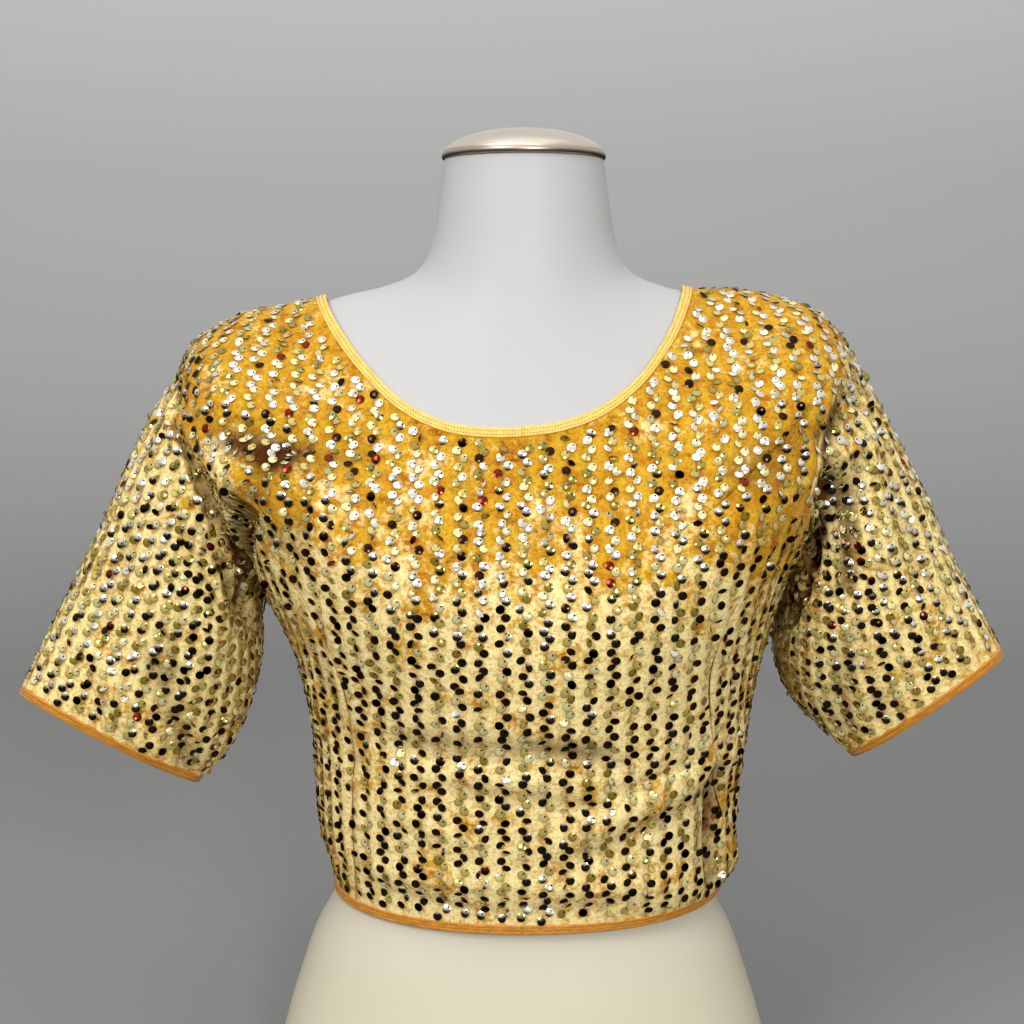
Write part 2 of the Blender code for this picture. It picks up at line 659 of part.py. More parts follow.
def main():
    clear_scene()
    collection = bpy.data.collections.new("choli_blouse")
    bpy.context.scene.collection.children.link(collection)
    make_materials()
    make_form()
    make_cap()
    make_front()
    make_back()
    make_neck_binding()
    make_hem_binding()
    make_sleeve("left")
    make_sleeve("right")


main()
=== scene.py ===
import functools
import math

import bpy
import numpy as np
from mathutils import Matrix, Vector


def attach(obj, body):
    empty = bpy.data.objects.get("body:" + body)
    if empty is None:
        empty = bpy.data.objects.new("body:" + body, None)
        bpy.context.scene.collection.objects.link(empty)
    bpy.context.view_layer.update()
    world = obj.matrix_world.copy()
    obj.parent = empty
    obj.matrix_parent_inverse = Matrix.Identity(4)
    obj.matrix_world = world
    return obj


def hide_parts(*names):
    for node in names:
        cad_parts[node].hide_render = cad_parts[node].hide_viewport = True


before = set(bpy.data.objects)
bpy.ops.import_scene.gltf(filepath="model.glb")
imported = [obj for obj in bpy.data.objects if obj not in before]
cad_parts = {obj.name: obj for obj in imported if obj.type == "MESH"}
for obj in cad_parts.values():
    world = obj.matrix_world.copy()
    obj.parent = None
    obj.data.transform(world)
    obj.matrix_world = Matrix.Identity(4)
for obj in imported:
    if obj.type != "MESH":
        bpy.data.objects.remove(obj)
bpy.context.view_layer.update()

bl_info = {
    "name": "Choli blouse on a dress form",
    "version": (1, 0, 0),
    "blender": (4, 5, 0),
    "location": "3D View > Sidebar > Blouse",
    "description": "Builds a velvet choli blouse with rows of sequins on a limbless dress form",
    "category": "Object",
}

# Units are metres, +Z is up, the front of the blouse faces -Y and left is -X.

# Cloth and seams
WALL = 0.0015
SEAM_GAP = 0.0005
BINDING_GAP = 0.0009
SHOULDER_GAP = 0.0011
FRONT_SEAM_GAP = 0.0013
LEAST_EASE = 0.0016
LEAST_RADIUS = 0.08
BINDING_WIDTH = 0.0062
BINDING_WALL = 0.0021
SLEEVE_LIFT = 0.0006
SLEEVE_INSET = 0.0004

# Form: how its rings bend from side to front above and below two rings, and the bust,
# one bell-shaped rise to each side, in metres and degrees
SHOULDER_BEND = 1.4
BODY_BEND = 2.0
BEND_RINGS = (6.5, 9.0)
BUST_RISE = 0.006
BUST_ANGLE = 31.0
BUST_HEIGHT = 0.345
BUST_SPREAD_ANGLE = 24.0
BUST_SPREAD_HEIGHT = 0.042

# Neck cap, a shallow dome with a rim
CAP_SEAT = 0.6183
CAP_RADIUS = 0.0515
CAP_RIM_HEIGHT = 0.0042
CAP_HEIGHT = 0.0193
CAP_ROUNDING = 0.0012
CAP_SHARPNESS = 1.15
CAP_CENTRE = 1e-5

# Painted reflection, brown, at its rim: how far it reaches up the dome, the height over which it
# fades, and its share of the colour
RIM_REFLECTION_REACH = 0.001
RIM_REFLECTION_FADE = 0.002
RIM_REFLECTION_SHARE = 0.45

# Each ring of the form: number, half width and height at the side, depth and
# height at the front, depth and height at the back, squareness
FORM_RINGS = (
    (0, 0.0500, 0.6180, 0.0490, 0.6180, 0.0490, 0.6180, 2.00),
    (1, 0.0535, 0.5940, 0.0520, 0.5900, 0.0540, 0.5940, 2.00),
    (2, 0.0585, 0.5660, 0.0560, 0.5560, 0.0610, 0.5640, 2.00),
    (3, 0.0680, 0.5490, 0.0605, 0.5300, 0.0680, 0.5480, 2.00),
    (4, 0.0885, 0.5400, 0.0680, 0.5020, 0.0780, 0.5320, 2.00),
    (5, 0.1100, 0.5350, 0.0780, 0.4740, 0.0900, 0.5140, 2.00),
    (6, 0.1320, 0.5280, 0.0890, 0.4450, 0.1000, 0.4920, 2.00),
    (7, 0.1530, 0.5185, 0.1000, 0.4160, 0.1070, 0.4670, 2.05),
    (8, 0.1710, 0.5050, 0.1100, 0.3900, 0.1110, 0.4420, 2.10),
    (9, 0.1820, 0.4830, 0.1170, 0.3670, 0.1125, 0.4180, 2.20),
    (10, 0.1800, 0.4500, 0.1205, 0.3520, 0.1120, 0.3950, 2.25),
    (11, 0.1700, 0.4050, 0.1215, 0.3400, 0.1100, 0.3700, 2.30),
    (12, 0.1585, 0.3600, 0.1200, 0.3260, 0.1060, 0.3450, 2.30),
    (13, 0.1475, 0.3200, 0.1140, 0.3050, 0.1000, 0.3150, 2.30),
    (14, 0.1375, 0.2900, 0.1060, 0.2800, 0.0945, 0.2860, 2.30),
    (15, 0.1275, 0.2580, 0.0985, 0.2520, 0.0895, 0.2560, 2.30),
    (16, 0.1195, 0.2250, 0.0925, 0.2220, 0.0862, 0.2240, 2.30),
    (17, 0.1165, 0.1930, 0.0888, 0.1920, 0.0852, 0.1930, 2.25),
    (18, 0.1170, 0.1700, 0.0880, 0.1700, 0.0870, 0.1700, 2.25),
    (19, 0.1222, 0.1485, 0.0895, 0.1485, 0.0925, 0.1485, 2.20),
    (20, 0.1375, 0.1200, 0.0955, 0.1200, 0.1030, 0.1200, 2.20),
    (21, 0.1470, 0.0930, 0.1010, 0.0930, 0.1125, 0.0930, 2.20),
    (22, 0.1565, 0.0620, 0.1065, 0.0620, 0.1195, 0.0620, 2.20),
    (23, 0.1635, 0.0310, 0.1105, 0.0310, 0.1235, 0.0310, 2.20),
    (24, 0.1665, 0.0000, 0.1125, 0.0000, 0.1250, 0.0000, 2.20),
)

# How far the cloth stands off the form, in mm: ring, left, front, right, back
EASE_ROWS = (
    (4, 2.5, 1.2, 2.5, 1.5),
    (5, 3.0, 1.2, 3.2, 1.5),
    (6, 4.2, 1.5, 10.0, 2.0),
    (7, 9.5, 2.0, 16.0, 3.0),
    (8, 20.5, 3.0, 23.5, 4.0),
    (9, 34.0, 3.0, 27.0, 4.0),
    (10, 29.0, 3.0, 22.0, 4.0),
    (11, 18.0, 2.5, 14.0, 4.0),
    (12, 9.0, 4.0, 8.0, 5.0),
    (13, 2.0, 7.0, 7.0, 7.0),
    (14, 3.0, 10.0, 10.5, 9.0),
    (15, 8.0, 12.0, 16.0, 11.0),
    (16, 14.5, 13.0, 18.5, 12.0),
    (17, 15.0, 11.5, 20.5, 10.0),
    (18, 8.0, 9.0, 21.0, 6.0),
    (19, 2.2, 6.5, 8.5, 3.0),
    (20, 2.0, 5.0, 6.0, 3.0),
)

# Edge of the neck opening: angle round the neck, ring number
NECK_CURVE = (
    (-225.0, 6.20),
    (-180.0, 6.50),
    (-135.0, 6.20),
    (-90.0, 5.64),
    (-75.0, 5.53),
    (-60.0, 5.60),
    (-45.0, 5.76),
    (-30.0, 5.78),
    (-15.0, 5.69),
    (0.0, 5.61),
    (15.0, 5.56),
    (30.0, 5.47),
    (45.0, 5.24),
    (60.0, 4.88),
    (75.0, 4.58),
    (90.0, 4.53),
    (135.0, 5.75),
    (180.0, 6.50),
    (225.0, 6.20),
)
NECK_RING = 5.50
NECK_BLEND_RING = 8.50
HEM_RING = 18.95

# Armholes: side, ring at the shoulder, ring at the underarm, half opening
# angle in front, half opening angle at the back, lean of the front and of the
# back; a lean below 0 makes the opening wider near the shoulder
ARMHOLES = {
    "left": (-1.0, 9.0, 12.15, 14.0, 20.0, 0.12, 0.12),
    "right": (1.0, 8.6, 12.3, 23.0, 20.0, -0.45, 0.12),
}

# Curved seams of the front: ring number, angle on the left, angle on the right
FRONT_SEAMS = (
    (9.80, 76.5, 63.6),
    (10.40, 62.0, 56.5),
    (11.30, 53.0, 51.5),
    (12.50, 51.0, 49.0),
    (14.00, 52.5, 54.0),
    (16.00, 57.0, 66.0),
    (17.50, 60.5, 75.0),
    (19.40, 65.0, 79.0),
)

# Soft folds of the body: angle and height of both ends, rise in mm (a trough
# is negative), half width in mm
BODY_FOLDS = (
    (-36.0, 0.272, 22.0, 0.267, -3.0, 9.0),
    (70.0, 0.262, 12.0, 0.212, 3.0, 10.0),
    (60.0, 0.245, 65.0, 0.172, -5.0, 8.0),
    (77.0, 0.240, 79.0, 0.170, 2.0, 7.0),
    (-50.0, 0.185, 45.0, 0.180, 2.5, 9.0),
    (56.0, 0.425, 67.0, 0.448, -2.5, 8.0),
    (-70.0, 0.452, -50.0, 0.437, -2.5, 9.0),
    (-66.0, 0.425, -48.0, 0.412, 2.0, 8.0),
    (-62.0, 0.402, -52.0, 0.384, -2.5, 9.0),
    (150.0, 0.275, 205.0, 0.268, -3.0, 10.0),
    (130.0, 0.225, 190.0, 0.205, 3.0, 10.0),
    (228.0, 0.235, 222.0, 0.175, -4.0, 9.0),
)
FOLD_RADIUS = 0.130

# Smaller creases that only the shells have: the same columns
SMALL_BODY_FOLDS = (
    (-62.0, 0.410, -66.0, 0.394, -9.0, 4.5),
    (-66.0, 0.394, -75.0, 0.370, -11.0, 5.0),
    (-78.0, 0.458, -63.0, 0.424, 6.0, 5.5),
    (-63.0, 0.424, -73.0, 0.385, 4.0, 5.0),
    (-66.0, 0.448, -58.5, 0.438, -6.5, 5.0),
    (-60.0, 0.436, -59.5, 0.417, -5.5, 4.0),
    (63.5, 0.468, 66.5, 0.420, 2.4, 3.0),
    (66.5, 0.420, 71.0, 0.372, 2.4, 3.0),
    (-53.0, 0.418, -51.0, 0.400, -3.5, 6.0),
    (-47.0, 0.430, -40.0, 0.378, 1.5, 8.0),
    (66.0, 0.457, 54.0, 0.428, -2.6, 5.5),
    (62.0, 0.466, 50.0, 0.446, 1.6, 7.0),
    (-34.0, 0.257, 4.0, 0.252, 1.6, 6.0),
    (-22.0, 0.246, 26.0, 0.234, -1.7, 6.5),
    (2.0, 0.274, 30.0, 0.262, -1.6, 6.0),
    (56.0, 0.232, 22.0, 0.203, -2.2, 7.0),
    (48.0, 0.258, 30.0, 0.243, -1.4, 5.0),
    (-50.0, 0.172, -8.0, 0.164, -2.2, 5.0),
    (-2.0, 0.166, 32.0, 0.168, -2.0, 5.0),
    (62.0, 0.262, 64.0, 0.205, -2.2, 5.0),
    (-58.0, 0.300, -54.0, 0.255, -1.6, 7.0),
    (-44.0, 0.228, -16.0, 0.214, 1.4, 7.0),
    (128.0, 0.402, 150.0, 0.366, -1.8, 8.0),
    (160.0, 0.306, 204.0, 0.300, 1.6, 8.0),
    (150.0, 0.188, 196.0, 0.181, -2.0, 6.0),
    (206.0, 0.414, 226.0, 0.372, -2.0, 8.0),
    (118.0, 0.262, 124.0, 0.196, -2.0, 6.0),
)

# Sleeve sections: number, outer edge x and z, inner edge x and z, half depth,
# centre y, rise of the front over the centre; section 0 is the armhole itself
SLEEVES = {
    "left": (
        (1, 0.2340, 0.4640, 0.1715, 0.3270, 0.0610, 0.0020, 0.0000),
        (2, 0.2520, 0.4300, 0.1720, 0.3030, 0.0580, 0.0010, 0.0000),
        (3, 0.2680, 0.3940, 0.1765, 0.2790, 0.0540, 0.0000, 0.0015),
        (4, 0.2865, 0.3580, 0.1850, 0.2550, 0.0490, -0.0010, 0.0040),
        (5, 0.3070, 0.3190, 0.1980, 0.2340, 0.0430, -0.0020, 0.0070),
        (6, 0.3280, 0.2780, 0.2145, 0.2170, 0.0370, -0.0030, 0.0095),
    ),
    "right": (
        (1, 0.2220, 0.4740, 0.1660, 0.3290, 0.0610, 0.0020, 0.0000),
        (2, 0.2400, 0.4410, 0.1640, 0.3090, 0.0580, 0.0010, 0.0000),
        (3, 0.2580, 0.4070, 0.1680, 0.2890, 0.0540, 0.0000, 0.0015),
        (4, 0.2740, 0.3715, 0.1790, 0.2700, 0.0490, -0.0010, 0.0040),
        (5, 0.2925, 0.3370, 0.1970, 0.2520, 0.0430, -0.0020, 0.0070),
        (6, 0.3115, 0.3030, 0.2170, 0.2345, 0.0370, -0.0030, 0.0095),
    ),
}

# Soft folds of the sleeves: angle round the sleeve (0 on top, 90 in front) and
# section at both ends, rise in mm, half width in mm
SLEEVE_FOLDS = {
    "left": (
        (60.0, 0.4, 120.0, 1.4, 4.0, 9.0),
        (88.0, 0.3, 138.0, 1.1, -5.0, 8.0),
        (100.0, 4.0, 150.0, 5.6, -4.0, 9.0),
        (70.0, 4.6, 120.0, 5.9, 3.0, 9.0),
        (250.0, 0.6, 225.0, 2.0, -4.0, 10.0),
        (240.0, 3.6, 215.0, 5.4, 3.0, 10.0),
    ),
    "right": (
        (78.0, 0.4, 98.0, 2.3, -6.0, 9.0),
        (56.0, 0.4, 70.0, 2.6, 3.0, 9.0),
        (110.0, 3.4, 150.0, 5.2, -3.0, 9.0),
        (250.0, 0.6, 225.0, 2.0, -4.0, 10.0),
        (240.0, 3.6, 215.0, 5.4, 3.0, 10.0),
    ),
}
# Smaller creases that only the shells have: the same columns
SMALL_SLEEVE_FOLDS = {
    "left": (
        (40.0, 0.40, 100.0, 0.60, 6.0, 7.0),
        (104.0, 0.05, 133.0, 0.25, -9.0, 5.0),
        (133.0, 0.25, 150.0, 1.0, -10.0, 5.5),
        (108.0, 0.50, 128.0, 1.8, 5.0, 6.0),
        (34.0, 0.12, 76.0, 0.16, -3.5, 3.0),
        (16.0, 0.10, 24.0, 1.0, -1.8, 2.8),
        (124.0, 2.2, 118.0, 4.4, 2.2, 8.0),
        (96.0, 3.4, 124.0, 4.2, -2.2, 6.0),
        (84.0, 5.0, 122.0, 5.6, 1.8, 6.0),
        (48.0, 2.2, 60.0, 4.4, -1.4, 7.0),
        (20.0, 0.3, 36.0, 1.3, -1.6, 6.0),
        (290.0, 0.5, 262.0, 1.8, -2.4, 8.0),
        (262.0, 3.0, 230.0, 4.6, 2.0, 8.0),
        (212.0, 2.4, 200.0, 4.0, -2.2, 7.0),
    ),
    "right": (
        (37.0, 0.10, 74.0, 0.30, -9.0, 5.5),
        (74.0, 0.30, 104.0, 0.46, -12.0, 7.5),
        (104.0, 0.46, 120.0, 0.70, -11.0, 6.5),
        (120.0, 0.65, 148.0, 1.4, -9.0, 5.0),
        (30.0, 0.75, 70.0, 1.3, 2.5, 6.0),
        (14.0, 0.10, 22.0, 1.0, -1.8, 2.8),
        (28.0, 0.10, 36.0, 1.1, -2.0, 2.8),
        (74.0, 1.6, 104.0, 3.6, 1.8, 7.0),
        (98.0, 4.2, 124.0, 5.4, -2.0, 6.0),
        (84.0, 3.6, 108.0, 4.8, 1.6, 6.0),
        (44.0, 1.4, 58.0, 3.6, -1.4, 7.0),
        (24.0, 0.3, 40.0, 1.2, -1.6, 6.0),
        (292.0, 0.5, 264.0, 1.8, -2.4, 8.0),
        (258.0, 3.2, 228.0, 4.8, 2.0, 8.0),
        (208.0, 2.2, 198.0, 3.8, -2.2, 7.0),
    ),
}

# A sleeve's last section, the step back from it that finds its slope, and the radius and
# the length of a section on which its folds are drawn
SLEEVE_END = 6.0
CUFF_STEP = 0.02
SLEEVE_FOLD_RADIUS = 0.055
SLEEVE_STEP_LENGTH = 0.038

# Step to both sides with which a slope is found, in radians, rings or sections
SLOPE_STEP = 1e-3

# Folds of a sleeve grow from its armhole over the first of these lengths, in sections,
# and fade towards its cuff over the second, down to the third as a share
FOLD_FADE = (0.6, 0.5, 0.2)


def smooth_through(rows, at):
    """Every column after the first, read at the places in the first column.

    The curve passes through each row and its slope there is that of the line
    between the two rows beside it.
    """
    rows = np.asarray(rows, float)
    at = np.asarray(at, float)
    places = rows[:, 0]
    values = rows[:, 1:]
    slopes = np.gradient(values, places, axis=0)
    at = np.clip(at, places[0], places[-1])
    i = np.clip(np.searchsorted(places, at, side="right") - 1, 0, len(places) - 2)
    span = (places[i + 1] - places[i])[..., None]
    t = (at - places[i])[..., None] / span
    start = values[i] * (1 + 2 * t) * (1 - t) ** 2
    end = values[i + 1] * t**2 * (3 - 2 * t)
    leave = slopes[i] * span * t * (1 - t) ** 2
    arrive = slopes[i + 1] * span * t**2 * (t - 1)
    return start + end + leave + arrive


def form_point(theta, ring):
    """Points of the form at an angle round it (0 in front, +90 right)."""
    ring, theta = np.broadcast_arrays(np.asarray(ring, float), theta)
    side_x, side_z, front_y, front_z, back_y, back_z, square = np.moveaxis(
        smooth_through(FORM_RINGS, ring), -1, 0
    )
    sine = np.sin(theta)
    cosine = np.cos(theta)
    depth = np.where(cosine >= 0, front_y, back_y)
    end_z = np.where(cosine >= 0, front_z, back_z)
    wide = (np.abs(sine) / side_x) ** square
    deep = (np.abs(cosine) / depth) ** square
    radius = (wide + deep) ** (-1 / square)
    share = np.minimum(radius * np.abs(cosine) / depth, 1.0)
    lower = np.clip((ring - BEND_RINGS[0]) / (BEND_RINGS[1] - BEND_RINGS[0]), 0.0, 1.0)
    bend = SHOULDER_BEND + (BODY_BEND - SHOULDER_BEND) * lower
    z = side_z + (end_z - side_z) * share**bend
    aside = (np.abs(np.degrees(np.arctan2(sine, cosine))) - BUST_ANGLE) / BUST_SPREAD_ANGLE
    above = (z - BUST_HEIGHT) / BUST_SPREAD_HEIGHT
    radius = radius + BUST_RISE * np.exp(-(aside**2) - above**2)
    return np.stack([radius * sine, -radius * cosine, z], axis=-1)


def unit(vectors):
    """Each vector divided by its own length."""
    return vectors / np.linalg.norm(vectors, axis=-1, keepdims=True)


def slope(point_of, theta, row, turn, move):
    """Point one step on, in angle (turn 1) or in row (move 1), less the point one step back."""
    ahead = point_of(theta + turn * SLOPE_STEP, row + move * SLOPE_STEP)
    return ahead - point_of(theta - turn * SLOPE_STEP, row - move * SLOPE_STEP)


def normal_of(point_of, theta, row):
    """Outward normal: the unit cross product of the slopes down the rows and round them."""
    across = slope(point_of, theta, row, 1, 0)
    return unit(np.cross(slope(point_of, theta, row, 0, 1), across))


def fold_rise(folds, radius, length, angle, place):
    """Sum of soft ridges and troughs, each a bell curve across a straight line.

    The line is drawn on the unrolled cloth: u is angle * radius, and v is place * length.
    """
    u = angle * radius
    v = place * length
    total = np.zeros(np.shape(u))
    for start_angle, start_place, end_angle, end_place, rise, half_width in folds:
        start_u = math.radians(start_angle) * radius
        start_v = start_place * length
        along_u = math.radians(end_angle) * radius - start_u
        along_v = end_place * length - start_v
        share = (u - start_u) * along_u + (v - start_v) * along_v
        share = np.clip(share / (along_u**2 + along_v**2), 0.0, 1.0)
        far = np.hypot(u - start_u - share * along_u, v - start_v - share * along_v)
        total = total + rise * 1e-3 * np.exp(-((far / (half_width * 1e-3)) ** 2))
    return total


def body_fold_rise(theta, z):
    """Rise of all the body's folds, with angles below -120 degrees taken a turn further on."""
    turned = np.where(theta < math.radians(-120), theta + 2 * math.pi, theta)
    return fold_rise(BODY_FOLDS + SMALL_BODY_FOLDS, FOLD_RADIUS, 1.0, turned, z)


def cloth_ring(theta, row):
    """Ring of the form under a row of the cloth, bent along the neck opening."""
    turned = np.degrees(np.arctan2(np.sin(theta), np.cos(theta)))
    neck = smooth_through(NECK_CURVE, turned)[..., 0]
    fade = (NECK_BLEND_RING - row) / (NECK_BLEND_RING - NECK_RING)
    fade = np.clip(fade, 0.0, 1.1)
    return row + (neck - NECK_RING) * fade**1.5


def cloth_over_ring(theta, ring, out=0.0):
    """Points half way through the cloth, moved out by the given distance."""
    left, front, right, back = np.moveaxis(smooth_through(EASE_ROWS, ring), -1, 0)
    sine = np.sin(theta)
    cosine = np.cos(theta)
    side = np.where(sine >= 0, right, left)
    end = np.where(cosine >= 0, front, back)
    ease = (side * sine**2 + end * cosine**2) * 1e-3
    base = form_point(theta, ring)
    ease = np.maximum(ease + body_fold_rise(theta, base[..., 2]), LEAST_EASE)
    return base + normal_of(form_point, theta, ring) * (ease + out)[..., None]


def cloth_point(theta, row, out=0.0):
    """Point of the cloth at an angle and a row: the cloth over that row's ring."""
    row, theta = np.broadcast_arrays(np.asarray(row, float), theta)
    return cloth_over_ring(theta, cloth_ring(theta, row), out)


def row_shift(theta, row, distance):
    """Change of row that moves a point this far down the cloth."""
    down = slope(cloth_point, theta, row, 0, 1)
    return distance * 2 * SLOPE_STEP / np.linalg.norm(down, axis=-1)


def angle_shift(theta, row, distance):
    """Change of angle that moves a point this far round the cloth."""
    across = slope(cloth_point, theta, row, 1, 0)
    radius = np.linalg.norm(across, axis=-1) / (2 * SLOPE_STEP)
    return distance / np.maximum(radius, LEAST_RADIUS)


def armhole_angle(side, row, back):
    """Angle of the armhole's edge from the side line, 0 outside the armhole."""
    _, top, bottom, front_angle, back_angle, front_lean, back_lean = ARMHOLES[side]
    place = (row - (top + bottom) / 2) / ((bottom - top) / 2)
    inside = np.clip(1 - place**2, 0.0, 1.0)
    half_angle = back_angle if back else front_angle
    lean = back_lean if back else front_lean
    return math.radians(half_angle) * np.sqrt(inside) * (1 + lean * place)


def side_edge(side, row, back):
    """Angle of a panel's edge along the shoulder, armhole and side seams."""
    sign = ARMHOLES[side][0]
    edge = np.full(np.shape(row), sign * math.pi / 2)
    turn = sign * (-1.0 if not back else 1.0)
    opening = armhole_angle(side, row, back)
    wide = np.where(row < ARMHOLES[side][1] + 0.05, SHOULDER_GAP, SEAM_GAP)
    gap = angle_shift(edge, row, wide / 2)
    return edge + turn * (opening + gap)


def front_seam(side, row):
    """Angle of a curved front seam: the table's angle, below 0 on the left."""
    left, right = np.moveaxis(smooth_through(FRONT_SEAMS, row), -1, 0)
    return np.radians(right) if side == "right" else -np.radians(left)


def armhole_loop(side, phi):
    """Start of a sleeve: the armhole's edge, moved clear of the panels' walls."""
    sign, top, bottom, front_angle, back_angle, front_lean, back_lean = ARMHOLES[side]
    middle = (top + bottom) / 2
    half = (bottom - top) / 2
    row = middle - half * np.cos(phi)
    half_angle = np.radians(np.where(np.sin(phi) >= 0, front_angle, back_angle))
    lean = np.where(np.sin(phi) >= 0, front_lean, back_lean)
    opening = half_angle * np.sin(phi) * (1 - lean * np.cos(phi))
    theta = sign * (math.pi / 2 - opening)
    edge = cloth_point(theta, row)
    normal = normal_of(cloth_point, theta, row)
    centre_row = np.full(np.shape(row), middle)
    centre = cloth_point(np.full(np.shape(row), sign * math.pi / 2), centre_row)
    inward = centre - edge
    inward = inward - normal * np.sum(inward * normal, axis=-1, keepdims=True)
    low = (1 - np.cos(phi))[..., None] / 2
    return edge + normal * (WALL / 2 + SLEEVE_LIFT * low) + unit(inward) * SLEEVE_INSET


@functools.lru_cache(maxsize=2)
def armhole_table(side):
    """The armhole's loop at even steps of its angle."""
    phi = np.linspace(-math.pi, math.pi, 2881)
    return phi, armhole_loop(side, phi)


def armhole_point(side, phi):
    """The armhole's loop read at any angle, on straight lines between the table's points."""
    steps, loop = armhole_table(side)
    turned = np.arctan2(np.sin(phi), np.cos(phi))
    return np.stack([np.interp(turned, steps, loop[:, k]) for k in range(3)], axis=-1)


def sleeve_point(side, phi, place):
    """Outer face of a sleeve, from its armhole (place 0) to its cuff (6).

    Each section is an ellipse: middle + reach * cos + depth * sin. Between two sections
    runs a cubic with the slopes of smooth_through.
    """
    place, phi = np.broadcast_arrays(np.asarray(place, float), phi)
    sign = ARMHOLES[side][0]
    sections = []
    for row in SLEEVES[side]:
        _, outer_x, outer_z, inner_x, inner_z, half_depth, centre_y, lift = row
        middle = np.array([(outer_x + inner_x) / 2 * sign, centre_y, (outer_z + inner_z) / 2])
        reach = np.array([(outer_x - inner_x) / 2 * sign, 0.0, (outer_z - inner_z) / 2])
        depth = np.array([0.0, -half_depth, lift])
        cosine = np.cos(phi)[..., None]
        sine = np.sin(phi)[..., None]
        sections.append(middle + reach * cosine + depth * sine)
    sections.insert(0, armhole_point(side, phi))
    stack = np.stack(sections)
    slopes = np.gradient(stack, axis=0)
    i = np.clip(place.astype(int), 0, len(SLEEVES[side]) - 1)
    grid = np.indices(place.shape)
    start = stack[(i, *grid)]
    end = stack[(i + 1, *grid)]
    leave = slopes[(i, *grid)]
    arrive = slopes[(i + 1, *grid)]
    t = (place - i)[..., None]
    points = start * (1 + 2 * t) * (1 - t) ** 2 + end * t**2 * (3 - 2 * t)
    return points + leave * t * (1 - t) ** 2 + arrive * t**2 * (t - 1)


def sleeve_rise(side, phi, place):
    """Rise of all the folds of one sleeve."""
    folds = SLEEVE_FOLDS[side] + SMALL_SLEEVE_FOLDS[side]
    return fold_rise(folds, SLEEVE_FOLD_RADIUS, SLEEVE_STEP_LENGTH, phi, place)


def sleeve_surface(side, phi, place):
    """The sleeve's outer face moved out by its folds, which fade towards both its ends."""
    place, phi = np.broadcast_arrays(np.asarray(place, float), phi)
    point_of = functools.partial(sleeve_point, side)
    along = point_of(phi, np.minimum(place + SLOPE_STEP, SLEEVE_END))
    along = along - point_of(phi, np.maximum(place - SLOPE_STEP, 0.0))
    around = slope(point_of, phi, place, 1, 0)
    sign = -ARMHOLES[side][0]
    calm = np.clip((SLEEVE_END - place) / FOLD_FADE[1] + FOLD_FADE[2], 0.0, 1.0)
    calm = np.clip(place / FOLD_FADE[0], 0.0, 1.0) * calm
    rise = sleeve_rise(side, phi, place) * calm
    return point_of(phi, place) + unit(np.cross(along, around)) * (sign * rise)[..., None]


def cuff_place(side, phi, distance):
    """Place on the sleeve that lies this far above the cuff's edge."""
    step = CUFF_STEP
    edge = sleeve_point(side, phi, np.full(np.shape(phi), SLEEVE_END))
    above = sleeve_point(side, phi, np.full(np.shape(phi), SLEEVE_END - step))
    return SLEEVE_END - distance * step / np.linalg.norm(edge - above, axis=-1)


# Rows and columns of the shells, and of what is laid on them
SHOULDER_ROWS = 22
ARMHOLE_ROWS = 44
SIDE_ROWS = 60
SLEEVE_AROUND = 200
SLEEVE_ALONG = 100
BINDING_AROUND = 240
BINDING_PROFILE_POINTS = 36
FORM_ALONG = 221
FORM_AROUND = 180
CAP_AROUND = 120

# Satin strips: width cut, width that shows, and how far the velvet goes under them
STRIP_LAP = 0.0016
STRIP_REACH = 1.5


def linear(hex_colour):
    """Linear RGBA of an sRGB hex colour: each channel c is c/12.92, or ((c + 0.055)/1.055)^2.4."""
    channels = np.array([int(hex_colour[i : i + 2], 16) for i in (1, 3, 5)]) / 255
    low = channels / 12.92
    high = ((channels + 0.055) / 1.055) ** 2.4
    return (*np.where(channels <= 0.04045, low, high).tolist(), 1.0)


def full_turn(count):
    """Angles of one turn, in so many equal steps."""
    return np.linspace(0.0, 2 * math.pi, count, endpoint=False)


def grid_faces(rows, columns, closed=False, flip=False):
    """Four corners of each cell of a grid: (i, j), (i+1, j), (i+1, j+1), (i, j+1)."""
    i, j = np.meshgrid(
        np.arange(rows - 1), np.arange(columns if closed else columns - 1), indexing="ij"
    )
    k = (j + 1) % columns
    corners = [i * columns + j, (i + 1) * columns + j, (i + 1) * columns + k, i * columns + k]
    faces = np.stack(corners, axis=-1).reshape(-1, 4)
    return faces[:, ::-1] if flip else faces


def add_object(name, points, faces, material):
    """A piece whose mesh has these points and faces."""
    mesh = bpy.data.meshes.new(name)
    faces = faces if isinstance(faces, list) else faces.tolist()
    mesh.from_pydata(np.reshape(points, (-1, 3)).tolist(), [], faces)
    mesh.shade_smooth()
    mesh.materials.append(bpy.data.materials[material])
    obj = bpy.data.objects.new(name, mesh)
    bpy.context.scene.collection.objects.link(obj)
    return obj


def add_values(obj, name, values):
    """A number for each point, which a material reads by its name."""
    layer = obj.data.attributes.new(name, "FLOAT", "POINT")
    layer.data.foreach_set("value", np.asarray(values, np.float32).ravel())


def add_uv(obj, u, v):
    """A UV map in metres, from the two values of each point."""
    mesh = obj.data
    layer = mesh.uv_layers.new(name="UVMap")
    corner = np.empty(len(mesh.loops), np.int32)
    mesh.loops.foreach_get("vertex_index", corner)
    pairs = np.stack([np.ravel(u)[corner], np.ravel(v)[corner]], axis=-1)
    layer.data.foreach_set("uv", pairs.astype(np.float32).ravel())


def thicken(obj, wall, offset):
    """Solidify: the surface is moved both ways along its normal by a share of the wall."""
    shell = obj.modifiers.new("Wall", "SOLIDIFY")
    shell.thickness = wall
    shell.offset = offset
    shell.use_quality_normals = True


